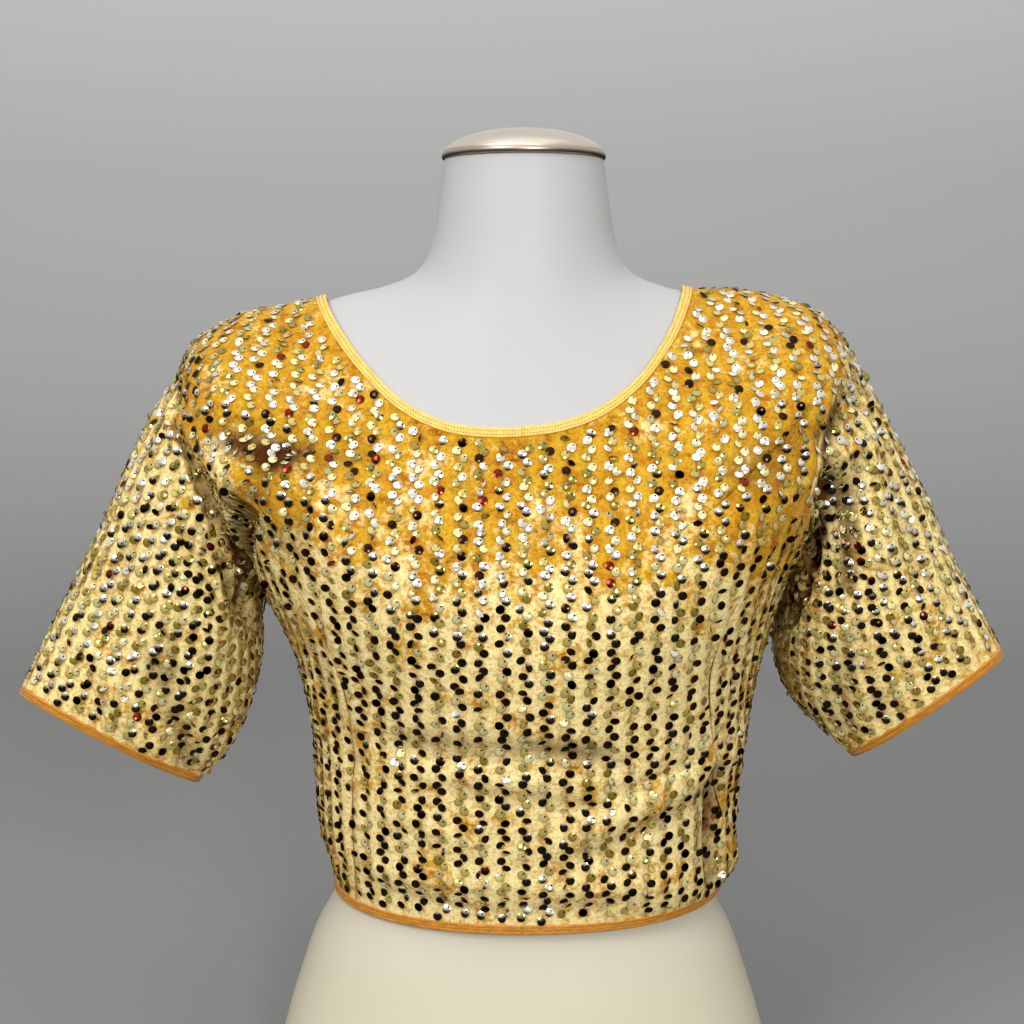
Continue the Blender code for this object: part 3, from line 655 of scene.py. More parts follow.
def join_copies(points, faces, places, axes):
    """Copies of one small shape: point = place + x * axis 1 + y * axis 2 + z * axis 3."""
    moved = np.einsum("pk,nkc->npc", points, axes) + places[:, None, :]
    shift = np.arange(len(places))[:, None, None] * len(points)
    return moved.reshape(-1, 3), (np.asarray(faces)[None] + shift).reshape(-1, len(faces[0]))


def body_rows(side):
    """Rows of one side, from the neck binding to the hem: close together at the armhole's ends."""
    top, bottom = ARMHOLES[side][1:3]
    shoulder = np.linspace(NECK_RING, top, SHOULDER_ROWS, endpoint=False)
    turns = np.linspace(0.0, math.pi, ARMHOLE_ROWS + 1)
    armhole = top + (bottom - top) * (1 - np.cos(turns)) / 2
    below = np.linspace(bottom, HEM_RING, SIDE_ROWS + 1)[1:]
    return np.concatenate([shoulder, armhole, below])


def panel_grid(rows_left, rows_right, left_edge, right_edge, columns):
    """Straight steps in angle and row number between a panel's two edges.

    The rows within STRIP_REACH of the neck and the hem are moved towards the panel's middle,
    less the further they are, so that the first and the last lie under the strips.
    """
    share = np.linspace(0.0, 1.0, columns + 1)[None, :]
    theta = left_edge[:, None] * (1 - share) + right_edge[:, None] * share
    rows = rows_left[:, None] * (1 - share) + rows_right[:, None] * share
    top = NECK_RING + row_shift(theta[0], NECK_RING, BINDING_WIDTH - STRIP_LAP)
    low = HEM_RING - row_shift(theta[-1], HEM_RING, BINDING_WIDTH - STRIP_LAP)
    near_top = 1 - np.clip((rows - NECK_RING) / STRIP_REACH, 0.0, 1.0)
    near_low = 1 - np.clip((HEM_RING - rows) / STRIP_REACH, 0.0, 1.0)
    rows = rows + (top - NECK_RING) * near_top - (HEM_RING - low) * near_low
    return theta, rows


def front_edges(side):
    """Outer edge and curved seam of one side; above its start the seam is the outer edge."""
    rows = body_rows(side)
    outer = side_edge(side, rows, False)
    seam = front_seam(side, rows)
    gap = ARMHOLES[side][0] * angle_shift(seam, rows, FRONT_SEAM_GAP)
    started = rows > FRONT_SEAMS[0][0]
    centre = np.where(started, seam - gap / 2, outer)
    return rows, outer, centre, centre + gap, int(np.argmax(started))


def panel_edges(name):
    """Row numbers and edge angles of a panel, as rows left, rows right, left edge, right edge."""
    if name == "front_centre":
        left_rows, _, left, _, _ = front_edges("left")
        right_rows, _, right, _, _ = front_edges("right")
        return left_rows, right_rows, left, right
    if name == "back":
        left_rows = body_rows("right")
        right_rows = body_rows("left")
        left = side_edge("right", left_rows, True)
        right = side_edge("left", right_rows, True) + 2 * math.pi
        return left_rows, right_rows, left, right
    side = name.rsplit("_", 1)[1]
    rows, outer, _, seam, start = front_edges(side)
    edges = (outer, seam) if side == "left" else (seam, outer)
    return rows[start:], rows[start:], edges[0][start:], edges[1][start:]


# Depth of a trough at which the painted shade in its fold is darkest, in metres
FULL_FOLD_SHADE_DEPTH = 0.0075

# Shade inside the armpit of each sleeve: first and last angle in degrees, how far it
# reaches along the sleeve at 100 degrees, in sections, and how much further a degree.
# It is this dark at most, and fades over these lengths, in sections and in degrees
ARMPIT_SHADES = {"left": (97.0, 160.0, 0.16, 0.0095), "right": (74.0, 162.0, 0.34, 0.0200)}
ARMPIT_DARK = 0.9
ARMPIT_FADE = (0.15, 8.0)


def fold_shade_depth(rise):
    """Painted shade of a fold: how far below the plain cloth a trough lies, from 0 to 1 at the
    deepest fold.
    """
    return np.clip(-rise / FULL_FOLD_SHADE_DEPTH, 0.0, 1.0)


def armpit_shade(side, phi, place):
    """Dark where the sleeve meets the body under the arm, falling straight to 0 at the reach."""
    first, last, reach, growth = ARMPIT_SHADES[side]
    angle = np.degrees(phi) % 360
    fade = ARMPIT_FADE[1]
    along = np.clip((reach + growth * (angle - 100) - place) / ARMPIT_FADE[0], 0.0, 1.0)
    around = np.clip((angle - first) / fade, 0.0, 1.0) * np.clip((last - angle) / fade, 0.0, 1.0)
    return ARMPIT_DARK * along * around


def add_node(tree, kind, settings=None, inputs=None):
    """One node with its settings; an input is a value, or another node's output to link."""
    node = tree.nodes.new(kind)
    for name, value in (settings or {}).items():
        setattr(node, name, value)
    for name, value in (inputs or {}).items():
        if isinstance(value, bpy.types.NodeSocket):
            tree.links.new(value, node.inputs[name])
        else:
            node.inputs[name].default_value = value
    return node


def new_material(name, **values):
    """A Principled material with these socket values; returns it with its tree and shader."""
    material = bpy.data.materials.new(name)
    material.use_nodes = True
    tree = material.node_tree
    shader = tree.nodes["Principled BSDF"]
    for socket, value in values.items():
        shader.inputs[socket.replace("_", " ")].default_value = value
    return material, tree, shader


def mix_colours(tree, share, first, second, blend="MIX"):
    """first * (1 - share) + second * share; with MULTIPLY the second is first * second.

    The node's sockets 0, 6 and 7 are the share and the two colours.
    """
    settings = {"data_type": "RGBA", "blend_type": blend}
    node = add_node(tree, "ShaderNodeMix", settings, {0: share, 6: first, 7: second})
    return node.outputs[2]


def remap(tree, value, low, high, to_low=0.0, to_high=1.0):
    """Straight line through (low, to_low) and (high, to_high), kept between the two ends."""
    names = {"Value": value, "From Min": low, "From Max": high, "To Min": to_low, "To Max": to_high}
    return add_node(tree, "ShaderNodeMapRange", {}, names).outputs["Result"]


def maths(tree, operation, first, second):
    """One sum of two values, such as ADD or MULTIPLY."""
    node = add_node(tree, "ShaderNodeMath", {"operation": operation}, {0: first, 1: second})
    return node.outputs[0]


def noise(tree, place, size, detail=2.0, roughness=0.5):
    """Noise whose largest patches are about this size in metres."""
    inputs = {"Vector": place, "Scale": 1 / size, "Detail": detail, "Roughness": roughness}
    return add_node(tree, "ShaderNodeTexNoise", {}, inputs).outputs["Fac"]


def attribute(tree, name, output="Fac"):
    """A value that add_values stored under this name."""
    node = add_node(tree, "ShaderNodeAttribute", {"attribute_name": name})
    return node.outputs[output]


def coordinates(tree, kind, scale=(1.0, 1.0, 1.0)):
    """Object or UV coordinates in metres, each times its own scale."""
    place = add_node(tree, "ShaderNodeTexCoord").outputs[kind]
    if scale == (1.0, 1.0, 1.0):
        return place
    inputs = {"Vector": place, "Scale": scale}
    return add_node(tree, "ShaderNodeMapping", {}, inputs).outputs["Vector"]


def height_of(tree, kind):
    """The z of the coordinates."""
    return add_node(tree, "ShaderNodeSeparateXYZ", {}, {0: coordinates(tree, kind)}).outputs["Z"]


def add_bump(tree, shader, height, strength, distance):
    """Tilts the shading by the slope of a height, drawn this deep in metres."""
    inputs = {"Height": height, "Strength": strength, "Distance": distance}
    bump = add_node(tree, "ShaderNodeBump", {}, inputs)
    tree.links.new(bump.outputs["Normal"], shader.inputs["Normal"])


def pattern(tree, place, name):
    """Noise of the table PATTERNS, remapped from its own two ends to the two wanted."""
    size, detail, roughness, *ends = PATTERNS[name]
    return remap(tree, noise(tree, place, size, detail, roughness), *ends)


# Patterns of the velvet: size in metres, detail, roughness, low and high end of the
# noise, and what they become
PATTERNS = {
    "patches": (0.026, 5.0, 0.72, 0.32, 0.68, -0.75, 0.75),
    "fine": (0.0045, 3.0, 0.60, 0.35, 0.65, -0.30, 0.30),
    "mottled": (0.009, 3.0, 0.60, 0.42, 0.66, 0.0, 0.85),
    "brushed": (0.0024, 4.0, 0.75, 0.48, 0.66, 0.0, 0.75),
    # Painted shade of small creases
    "painted_crease_shade": (0.022, 4.0, 0.65, 0.56, 0.70, 0.0, 0.75),
}

# Scale of the velvet's painted shade of small creases, which lie flat: they are wider than high
CREASE_SHADE_SCALE = (1.0, 1.0, 2.6)

# Ends of the share of painted gold sheen in the velvet, and the painted shadow that the sequins
# cast along a row of sewing
GOLD_ENDS = (0.10, 0.75)
SEQUIN_ROW_SHADOW = 0.34

# Heights that add up to the velvet's bump: size in metres, detail, roughness, weight
PILE = ((0.0012, 3.0, 0.7, 1.0), (0.0045, 2.0, 0.6, 1.6), (0.014, 1.0, 0.5, 3.0))


def velvet_material(name, gold, orange, pale, dark, deep):
    """Silk-look polyester velvet: woven with a short cut pile, with painted sheen, gold where it
    faces up and pale where it turns down, broken up in patches.

    The pile is dull face on and bright at a grazing view, which the sheen gives. Its patches
    are 5 to 30 mm, and the pile's own threads, 0.2 mm, are drawn 1.2 mm coarse so that they show.
    It has painted shadow along the rows of sewing, where the sequins shade it, painted shade in its
    small creases, and painted shade deep in the folds.
    """
    material, tree, shader = new_material(
        name, Roughness=0.85, Specular_IOR_Level=0.12, Sheen_Weight=0.25, Sheen_Roughness=0.4
    )
    place = coordinates(tree, "Object")
    patches = maths(tree, "ADD", pattern(tree, place, "patches"), pattern(tree, place, "fine"))
    # Share of the painted gold sheen: the stored value plus patches of random tone; gold where the
    # velvet faces up, pale where it turns down
    share = remap(tree, maths(tree, "ADD", attribute(tree, "painted_sheen_gold"), patches), *GOLD_ENDS)
    yellow = mix_colours(tree, pattern(tree, place, "mottled"), gold, orange)
    colour = mix_colours(tree, share, pale, yellow)
    # Painted shadow of the sequins along each row of sewing, added to the random specks of the pile
    sewn = maths(tree, "MULTIPLY", attribute(tree, "row"), SEQUIN_ROW_SHADOW)
    shade = maths(tree, "ADD", pattern(tree, place, "brushed"), sewn)
    # Painted shade of small flat creases, darker streaks wider than high
    painted_crease_shade = pattern(tree, coordinates(tree, "Object", CREASE_SHADE_SCALE), "painted_crease_shade")
    shade = remap(tree, maths(tree, "ADD", shade, painted_crease_shade), 0.0, 1.0)
    colour = mix_colours(tree, shade, colour, dark, "MULTIPLY")
    # Painted shade deep in the folds and inside the armpits, in the deep colour
    colour = mix_colours(tree, attribute(tree, "painted_fold_shade"), colour, deep, "MULTIPLY")
    tree.links.new(colour, shader.inputs["Base Color"])
    shader.inputs["Sheen Tint"].default_value = pale
    height = 0.0
    for size, detail, roughness, weight in PILE:
        layer = maths(tree, "MULTIPLY", noise(tree, place, size, detail, roughness), weight)
        height = maths(tree, "ADD", layer, height)
    add_bump(tree, shader, height, 0.55, 0.0011)
    return material


def satin_material(name, colour, shade):
    """Polyester satin bias strip: folded and pressed, a soft shine with fine cross ripples."""
    material, tree, shader = new_material(
        name, Roughness=0.42, Specular_IOR_Level=0.45, Sheen_Weight=0.25, Sheen_Roughness=0.4
    )
    ripple = noise(tree, coordinates(tree, "UV", (1.0, 0.25, 1.0)), 0.0022, 2.0, 0.6)
    share = remap(tree, ripple, 0.35, 0.65, 0.0, 0.55)
    tree.links.new(mix_colours(tree, share, colour, shade), shader.inputs["Base Color"])
    add_bump(tree, shader, ripple, 0.5, 0.0008)
    return material


def form_material(white, ivory):
    """Moulded glass-fibre form with a sprayed satin paint: broad soft highlights.

    The colour turns from cool white at the neck to ivory at the hips, a painted tint of the warmer
    shade that falls on the hips.
    """
    material, tree, shader = new_material(
        "painted_form", Roughness=0.50, Specular_IOR_Level=0.35
    )
    # Painted shade: ivory towards the hips, white at the neck and chest
    share = remap(tree, height_of(tree, "Object"), 0.36, 0.10)
    tree.links.new(mix_colours(tree, share, white, ivory), shader.inputs["Base Color"])
    orange_peel = noise(tree, coordinates(tree, "Object"), 0.004, 1.0)
    add_bump(tree, shader, orange_peel, 0.04, 0.0004)
    return material


def nickel_material(nickel, brown):
    """Nickel-plated brass dome, turned and brushed round: circular brushing 0.5 mm apart."""
    material, tree, shader = new_material("brushed_nickel", Metallic=1.0, Roughness=0.36)
    lines = noise(tree, coordinates(tree, "UV", (0.02, 1.0, 1.0)), 0.0005, 3.0, 0.7)
    share = remap(tree, lines, 0.35, 0.65, 0.0, 0.25)
    # The rim value is a painted brown reflection at the cap's rim
    share = maths(tree, "ADD", share, attribute(tree, "rim"))
    colour = mix_colours(tree, remap(tree, share, 0.0, 1.0), nickel, brown)
    tree.links.new(colour, shader.inputs["Base Color"])
    add_bump(tree, shader, lines, 0.25, 0.0003)
    return material


def distance_from(tree, point):
    """Distance in the UV map, in metres, from a point of it."""
    inputs = {0: coordinates(tree, "UV"), 1: point}
    node = add_node(tree, "ShaderNodeVectorMath", {"operation": "DISTANCE"}, inputs)
    return node.outputs["Value"]


def sequin_material():
    """Domed sequins punched from clear polyester film, plated on the back: mirror bright.

    The tint of each one is a value of its points, and the thread hole is a dark dot 1.2 mm wide:
    the hole itself, and painted shadow of the thread in it.
    Where the plating is thin the film shows clear and tinted, which its second value tells.
    """
    material, tree, shader = new_material("sequin_film", Roughness=0.15)
    tint = attribute(tree, "tint", "Color")
    clear = attribute(tree, "clear")
    tree.links.new(remap(tree, clear, 0.0, 1.0, 1.0, 0.35), shader.inputs["Metallic"])
    rim = remap(tree, distance_from(tree, (0.0, 0.0, 0.0)), 0.0021, 0.0027)
    rim = maths(tree, "MULTIPLY", maths(tree, "MULTIPLY", rim, clear), 0.75)
    colour = mix_colours(tree, rim, tint, linear("#6E5A22"))
    # Dark dot of the thread hole: the hole and painted shadow of the thread in it
    hole = remap(tree, distance_from(tree, (*SEQUIN_HOLE, 0.0)), 0.0007, 0.0005)
    colour = mix_colours(tree, hole, colour, linear("#1C1A14"))
    tree.links.new(colour, shader.inputs["Base Color"])
    return material


def thread_material(name, colour):
    """Twisted polyester sewing thread, 0.3 mm thick: a dull, slightly silky surface."""
    material, _, _ = new_material(
        name, Base_Color=colour, Roughness=0.6, Specular_IOR_Level=0.35, Sheen_Weight=0.2
    )
    return material


# Paper with painted shade, darker towards its foot: the height where its own colour starts, and the
# share of it at the foot
PAPER_TOP = 1.1
PAPER_FOOT_SHADE = 0.36


def stage_material(name, colour):
    """Matt photographic paper with painted shade: much darker at the form's foot than behind its
    neck.
    """
    material, tree, shader = new_material(name, Roughness=0.9, Specular_IOR_Level=0.1)
    share = remap(tree, height_of(tree, "Object"), 0.0, PAPER_TOP)
    # Painted shade at the foot of the paper
    dark = [PAPER_FOOT_SHADE * value for value in colour[:3]] + [1.0]
    tree.links.new(mix_colours(tree, share, dark, colour), shader.inputs["Base Color"])
    return material


# Contours of the body: highest and lowest one, step down to the next, angle to both sides,
# points round, and the first and last ring that they are read from
CONTOUR_TOP = 0.545
CONTOUR_LOW = 0.150
CONTOUR_STEP = 0.0015
CONTOUR_REACH = 1.90
CONTOUR_POINTS = 241
CONTOUR_RINGS = (1.0, 19.6)

# Sections of a sleeve between which its rows of sequins run, and how many are looked at
SLEEVE_ROW_ENDS = (0.10, 5.97)
SLEEVE_ROW_POINTS = 160

# Bindings: how square their section is across and through, below 1 squarer than a circle,
# then the grooves under the stitches, as shares of half the wall and of the width
STRIP_SQUARENESS = (0.7, 0.6)
GROOVE_DEPTH = 0.3
GROOVE_WIDTH = 0.07

# Where a cuff's strip lies: its middle and half its wall, as shares of the wall, outwards
CUFF_MIDDLE = -0.3
CUFF_HALF = 0.5

# The two lines of stitching across the strip, one stitch, and how far out it lies, as a
# share of half the wall on the body and of the whole wall on a cuff
STITCH_LINES = (0.36, 0.72)
STITCH_STEP = 0.0018
STITCH_LENGTH = 0.0010
STITCH_WIDTH = 0.0007
STITCH_OUT = 0.78
CUFF_STITCH_OUT = 0.07

# Rows of sewing: the cloth sinks by this much along a row and puffs up between two,
# and each row starts this much lower than the one before it. So many are tried to each side
ROW_RELIEF = 0.00065
ROW_OFFSET = 0.0031
ROWS_ASIDE = 26

# Rings from a strip where the puffs between the rows start, and over which they grow, and
# the sections over which they grow on a sleeve
PUFF_START = 0.3
PUFF_FADE = 0.5
SLEEVE_PUFF_FADE = 0.3

# Sequins: film disc, its dome and its hole, and how far they keep from strips and seams
SEQUIN_SIDES = 10
SEQUIN_DOME = 0.00092
SEQUIN_FILM = 0.00016
SEQUIN_HOLE = (0.0011, 0.0011)
SEQUIN_MARGIN = 0.0026
SEAM_MARGIN = 0.0012

# How the sequins lie: nod of their face towards the shoulder, lean to their side of the
# zigzag, both as slopes; one in seven hangs loose and is tipped by more. Then how far
# they stand off the velvet, and how far they stray along it
BODY_NOD = -0.05
SLEEVE_NOD = 0.10
ZIGZAG_LEAN = 0.10
LOOSE_SHARE = 0.14
LOOSE_SPREAD = 0.65
FIRM_SPREAD = 0.16
LEAST_LIFT = 0.0003
LIFT_SPREAD = 0.0007
PLACE_SPREAD = 0.0006

# Tints of the sequins: colour, share, and 1 where the film is clear
SEQUIN_TINTS = (
    ("#F4EEDC", 0.36, 0.0),
    ("#DDD6B6", 0.14, 0.0),
    ("#B0A564", 0.08, 0.0),
    ("#EADFA0", 0.14, 1.0),
    ("#C9B768", 0.12, 1.0),
    ("#968238", 0.07, 1.0),
    ("#7A3020", 0.02, 0.0),
    ("#33241A", 0.07, 0.0),
)


def facing_out(points, faces):
    """The faces, turned round if the surface's signed volume, a sum of a.(b x c), is below 0."""
    a, b, c, d = (points[faces[:, k]] for k in range(4))
    volume = np.sum(a * np.cross(b, c)) + np.sum(a * np.cross(c, d))
    return faces if volume > 0 else faces[:, ::-1]


def rounded(turn, power):
    """Sine raised to a power with its sign kept, which squares a circle's corners."""
    return np.sign(turn) * np.abs(turn) ** power


def sleeve_frame(side, phi, place):
    """Point of the sleeve, its outward normal, and the direction towards the cuff."""
    place, phi = np.broadcast_arrays(np.asarray(place, float), phi)
    surface = functools.partial(sleeve_surface, side)
    far = np.clip(place + SLOPE_STEP, 2 * SLOPE_STEP, SLEEVE_END)
    along = surface(phi, far) - surface(phi, far - 2 * SLOPE_STEP)
    normal = unit(np.cross(along, slope(surface, phi, place, 1, 0))) * -ARMHOLES[side][0]
    return surface(phi, place), normal, unit(along)


def make_form_pieces():
    """Torso: the form's rings from the neck to the base, closed by a fan at each end."""
    rings = np.linspace(0.0, FORM_RINGS[-1][0], FORM_ALONG)[:, None]
    theta = full_turn(FORM_AROUND)[None, :]
    points = form_point(theta + 0 * rings, rings + 0 * theta)
    rows, columns = points.shape[:2]
    faces = grid_faces(rows, columns, closed=True).tolist()
    flat = points.reshape(-1, 3)
    ends = [points[0].mean(axis=0), points[-1].mean(axis=0)]
    first, last = len(flat), len(flat) + 1
    start = (rows - 1) * columns
    for j in range(columns):
        k = (j + 1) % columns
        faces.append([first, j, k])
        faces.append([last, start + k, start + j])
    obj = add_object(
        "form_torso", np.concatenate([flat, ends]), faces, "painted_form"
    )
    obj.data.set_sharp_from_angle(angle=math.radians(50))
    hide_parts("dress_form")
    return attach(obj, "root")


def make_cap_piece():
    """Dome turned round +Z: its height is an ellipse's, and its rim is rounded off."""
    turns = np.linspace(0.0, math.pi / 2, 40)
    dome_radius = (CAP_RADIUS - CAP_ROUNDING) * np.cos(turns)
    rise = np.sin(turns) ** CAP_SHARPNESS
    dome_height = CAP_RIM_HEIGHT + (CAP_HEIGHT - CAP_RIM_HEIGHT) * rise
    edge = np.linspace(-math.pi / 2, math.pi / 2, 9)
    rim_radius = CAP_RADIUS - CAP_ROUNDING + CAP_ROUNDING * np.cos(edge)
    rim_height = CAP_RIM_HEIGHT / 2 + CAP_RIM_HEIGHT / 2 * np.sin(edge)
    radius = np.concatenate([[CAP_CENTRE], rim_radius, dome_radius[1:-1], [CAP_CENTRE]])
    height = np.concatenate([[0.0], rim_height, dome_height[1:-1], [CAP_HEIGHT]])
    theta = full_turn(CAP_AROUND)
    circle = np.stack([np.cos(theta), np.sin(theta)], axis=-1)
    points = np.zeros((len(radius), len(theta), 3))
    points[..., :2] = radius[:, None, None] * circle[None]
    points[..., 2] = CAP_SEAT + height[:, None]
    count = len(radius)
    faces = grid_faces(count, len(theta), closed=True, flip=True).tolist()
    faces.append(list(range(len(theta)))[::-1])
    faces.append([(count - 1) * len(theta) + j for j in range(len(theta))])
    obj = add_object("cap_dome", points, faces, "brushed_nickel")
    obj.data.set_sharp_from_angle(angle=math.radians(40))
    run = np.cumsum(np.hypot(np.gradient(radius), np.gradient(height)))
    add_uv(obj, theta[None] * radius[:, None], run[:, None] + 0 * theta[None])
    # Painted brown reflection along the rim
    rim = np.clip((CAP_RIM_HEIGHT + RIM_REFLECTION_REACH - height) / RIM_REFLECTION_FADE, 0.0, 1.0)
    add_values(obj, "rim", rim[:, None] * RIM_REFLECTION_SHARE + 0 * theta[None])
    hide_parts("neck_cap")
    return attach(obj, "root")


# Painted sheen of the velvet, gold where it faces up and pale where it turns down, in metres:
# height of its lower edge, height over which it fades in, how far the edge waves, and how much
# higher it lies at left, from 22 to 48 degrees
PAINTED_SHEEN_EDGE = 0.340
PAINTED_SHEEN_FADE = 0.060
PAINTED_SHEEN_WAVE = 0.005
PAINTED_SHEEN_LEFT = (0.034, 22.0, 26.0)

# Painted gold sheen at the sides, seen at a grazing angle, where the sine of the angle passes the
# first value, and on the sleeves
SIDE_GOLD = (0.75, 0.45)
SLEEVE_GOLD = 0.45

# Painted gold sheen on the top of a sleeve, which faces up: it fades out round the sleeve where the
# cosine of the angle falls to this value, and along it at this section
GOLD_COSINE = 0.2
GOLD_REACH = 1.6

# Painted sheen kept pale beside the left armhole: angle where it starts and fades in, height of
# its middle, half its height, and the share of painted gold that it loses
PALE_SHEEN_BESIDE_ARMHOLE = (61.0, 4.0, 0.405, 0.045, 0.75)


def painted_sheen_of_body(points, theta):
    """Painted sheen: gold, 1, on the yoke and shoulders, which face up, 0 below the bust, where the
    cloth turns down, higher again at the sides.

    The edge between them waves: its height is a sum of three sines of the angle.
    """
    wave = np.sin(3 * theta + 0.6) + 0.7 * np.sin(7 * theta + 2.0) + 0.4 * np.sin(13 * theta)
    height = points[..., 2]
    leftward = -np.degrees(theta)
    higher, begin, span = PAINTED_SHEEN_LEFT
    left = np.clip((leftward - begin) / span, 0.0, 1.0)
    edge = PAINTED_SHEEN_EDGE + PAINTED_SHEEN_WAVE * wave + higher * left
    front = np.clip((height - edge) / PAINTED_SHEEN_FADE, 0.0, 1.0)
    sine, gold = SIDE_GOLD
    aside = np.clip((np.abs(np.sin(theta)) - sine) / (1 - sine), 0.0, 1.0)
    # Beside the left armhole the painted gold sheen is taken back to pale
    begin, span, middle, half, lost = PALE_SHEEN_BESIDE_ARMHOLE
    pressed = np.clip((leftward - begin) / span, 0.0, 1.0) * (np.abs(height - middle) < half)
    return np.clip(front + gold * aside, 0.0, 1.0) * (1 - lost * pressed)


def nearness(run, pitch):
    """Cosine wave of the distance from the centre row: 1 on a row, -1 half way to the next."""
    return np.cos(2 * math.pi * run / pitch)


def read_table(table, down, across):
    """Value between the table's rows and columns, weighted by the nearness of all four."""
    i = np.clip(down.astype(int), 0, table.shape[0] - 2)
    j = np.clip(across.astype(int), 0, table.shape[1] - 2)
    a = np.clip(down - i, 0.0, 1.0)
    b = np.clip(across - j, 0.0, 1.0)
    upper = table[i, j] * (1 - b) + table[i, j + 1] * b
    lower = table[i + 1, j] * (1 - b) + table[i + 1, j + 1] * b
    return upper * (1 - a) + lower * a


def run_on_body(centre, theta, z):
    """Distance round the cloth from a centre line, read from the contours."""
    _, _, far = body_contours(centre)
    heights, columns = far.shape
    down = (CONTOUR_TOP - z) / CONTOUR_STEP
    across = (theta - centre + CONTOUR_REACH) / (2 * CONTOUR_REACH) * (columns - 1)
    return read_table(far, np.clip(down, 0, heights - 1), across)


def make_panel(name, columns):
    """Velvet panel between its edges, with half its wall on each side of the cloth surface."""
    theta, rows = panel_grid(*panel_edges(name), columns)
    pitch = bpy.context.scene.blouse_sizes.pitch
    plain = cloth_point(theta, rows)
    centre = math.pi if name == "back" else 0.0
    near = nearness(run_on_body(centre, theta, plain[..., 2]), pitch)
    edge = np.minimum(rows - NECK_RING, HEM_RING - rows)
    puffed = np.clip((edge - PUFF_START) / PUFF_FADE, 0.0, 1.0) * (1 - near)
    points = cloth_point(theta, rows, ROW_RELIEF * (puffed - 1))
    faces = grid_faces(*theta.shape)
    obj = add_object(name + "_velvet", points, faces, "gold_velvet")
    # Painted sheen: gold where the cloth faces up, pale where it turns down
    add_values(obj, "painted_sheen_gold", painted_sheen_of_body(points, theta))
    # Nearness to a row of sequins, which carries their painted shadow on the velvet
    add_values(obj, "row", np.clip(near, 0.0, 1.0))
    # Painted shade in the troughs of the folds
    add_values(obj, "painted_fold_shade", fold_shade_depth(body_fold_rise(theta, points[..., 2])))
    thicken(obj, WALL, 0.0)
    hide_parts(name)
    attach(obj, "root")
    return obj


def make_sleeve_piece(side):
    """Sleeve from its armhole loop to the cuff binding, with its wall inside the surface."""
    phi = full_turn(SLEEVE_AROUND)[None, :]
    last = cuff_place(side, phi, BINDING_WIDTH - STRIP_LAP)
    share = np.linspace(0.0, 1.0, SLEEVE_ALONG + 1)[:, None]
    place = share * last
    phi = phi + 0 * place
    points, normal, _ = sleeve_frame(side, phi, place)
    length = np.linalg.norm(points - np.roll(points, 1, axis=1), axis=-1)
    length[:, 0] = 0.0
    run = np.cumsum(length, axis=1)
    whole = run[:, -1:]
    run = np.where(run > whole / 2, whole - run, run)
    near = nearness(run, bpy.context.scene.blouse_sizes.pitch)
    relief = -ROW_RELIEF * (1 + near) * np.clip(place / SLEEVE_PUFF_FADE, 0.0, 1.0)
    points = points + normal * relief[..., None]
    faces = grid_faces(*place.shape, closed=True, flip=side == "right")
    obj = add_object("sleeve_%s_velvet" % side, points, faces, "sleeve_velvet")
    # Painted gold sheen on the top of the sleeve, which faces up
    above = np.clip((np.cos(phi) - GOLD_COSINE) / (1 - GOLD_COSINE), 0.0, 1.0)
    top = above * np.clip((GOLD_REACH - place) / GOLD_REACH, 0.0, 1.0)
    add_values(obj, "painted_sheen_gold", top * SLEEVE_GOLD)
    # Nearness to a row of sequins, which carries their painted shadow on the velvet
    add_values(obj, "row", np.clip(near, 0.0, 1.0))
    # Painted shade in the troughs of the folds and inside the armpit
    painted_fold_shade = fold_shade_depth(sleeve_rise(side, phi, place))
    add_values(obj, "painted_fold_shade", np.maximum(painted_fold_shade, armpit_shade(side, phi, place)))
    thicken(obj, WALL, -1.0)
    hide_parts("sleeve_" + side)
    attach(obj, "root")
    return obj


def groove(across):
    """Sum of two bell curves, one on each line of stitching."""
    return sum(np.exp(-(((across - line) / GROOVE_WIDTH) ** 2)) for line in STITCH_LINES)


def binding_profile():
    """Flattened circle with two grooves: place across from 0 to 1, and through from -1 to 1."""
    turn = full_turn(BINDING_PROFILE_POINTS)[:, None]
    across = 0.5 - 0.5 * rounded(np.cos(turn), STRIP_SQUARENESS[0])
    through = rounded(np.sin(turn), STRIP_SQUARENESS[1])
    outer = through * (1 - GROOVE_DEPTH * groove(across))
    return across, np.where(through > 0, outer, through)


def body_strip(edge_row, sign, across, out):
    """Point of a strip on the body: across its width from the edge row, and out from the cloth."""
    theta = full_turn(BINDING_AROUND)[None, :] + 0 * across
    row = edge_row + sign * across * row_shift(theta, edge_row, BINDING_WIDTH)
    return theta, cloth_point(theta, row, out)


def stitch_shape():
    """Thread of one stitch as a stretched octahedron: its ends go down into the cloth."""
    ends = np.array([[1, 0, 0], [-1, 0, 0], [0, 1, 0], [0, -1, 0], [0, 0, 1], [0, 0, -1]])
    size = np.array([STITCH_LENGTH, STITCH_WIDTH, STITCH_WIDTH]) / 2
    j = np.array([2, 4, 3, 5])
    k = np.roll(j, -1)
    front = np.stack([0 * j, j, k], axis=-1)
    back = np.stack([0 * j + 1, k, j], axis=-1)
    return ends * size, np.concatenate([front, back])


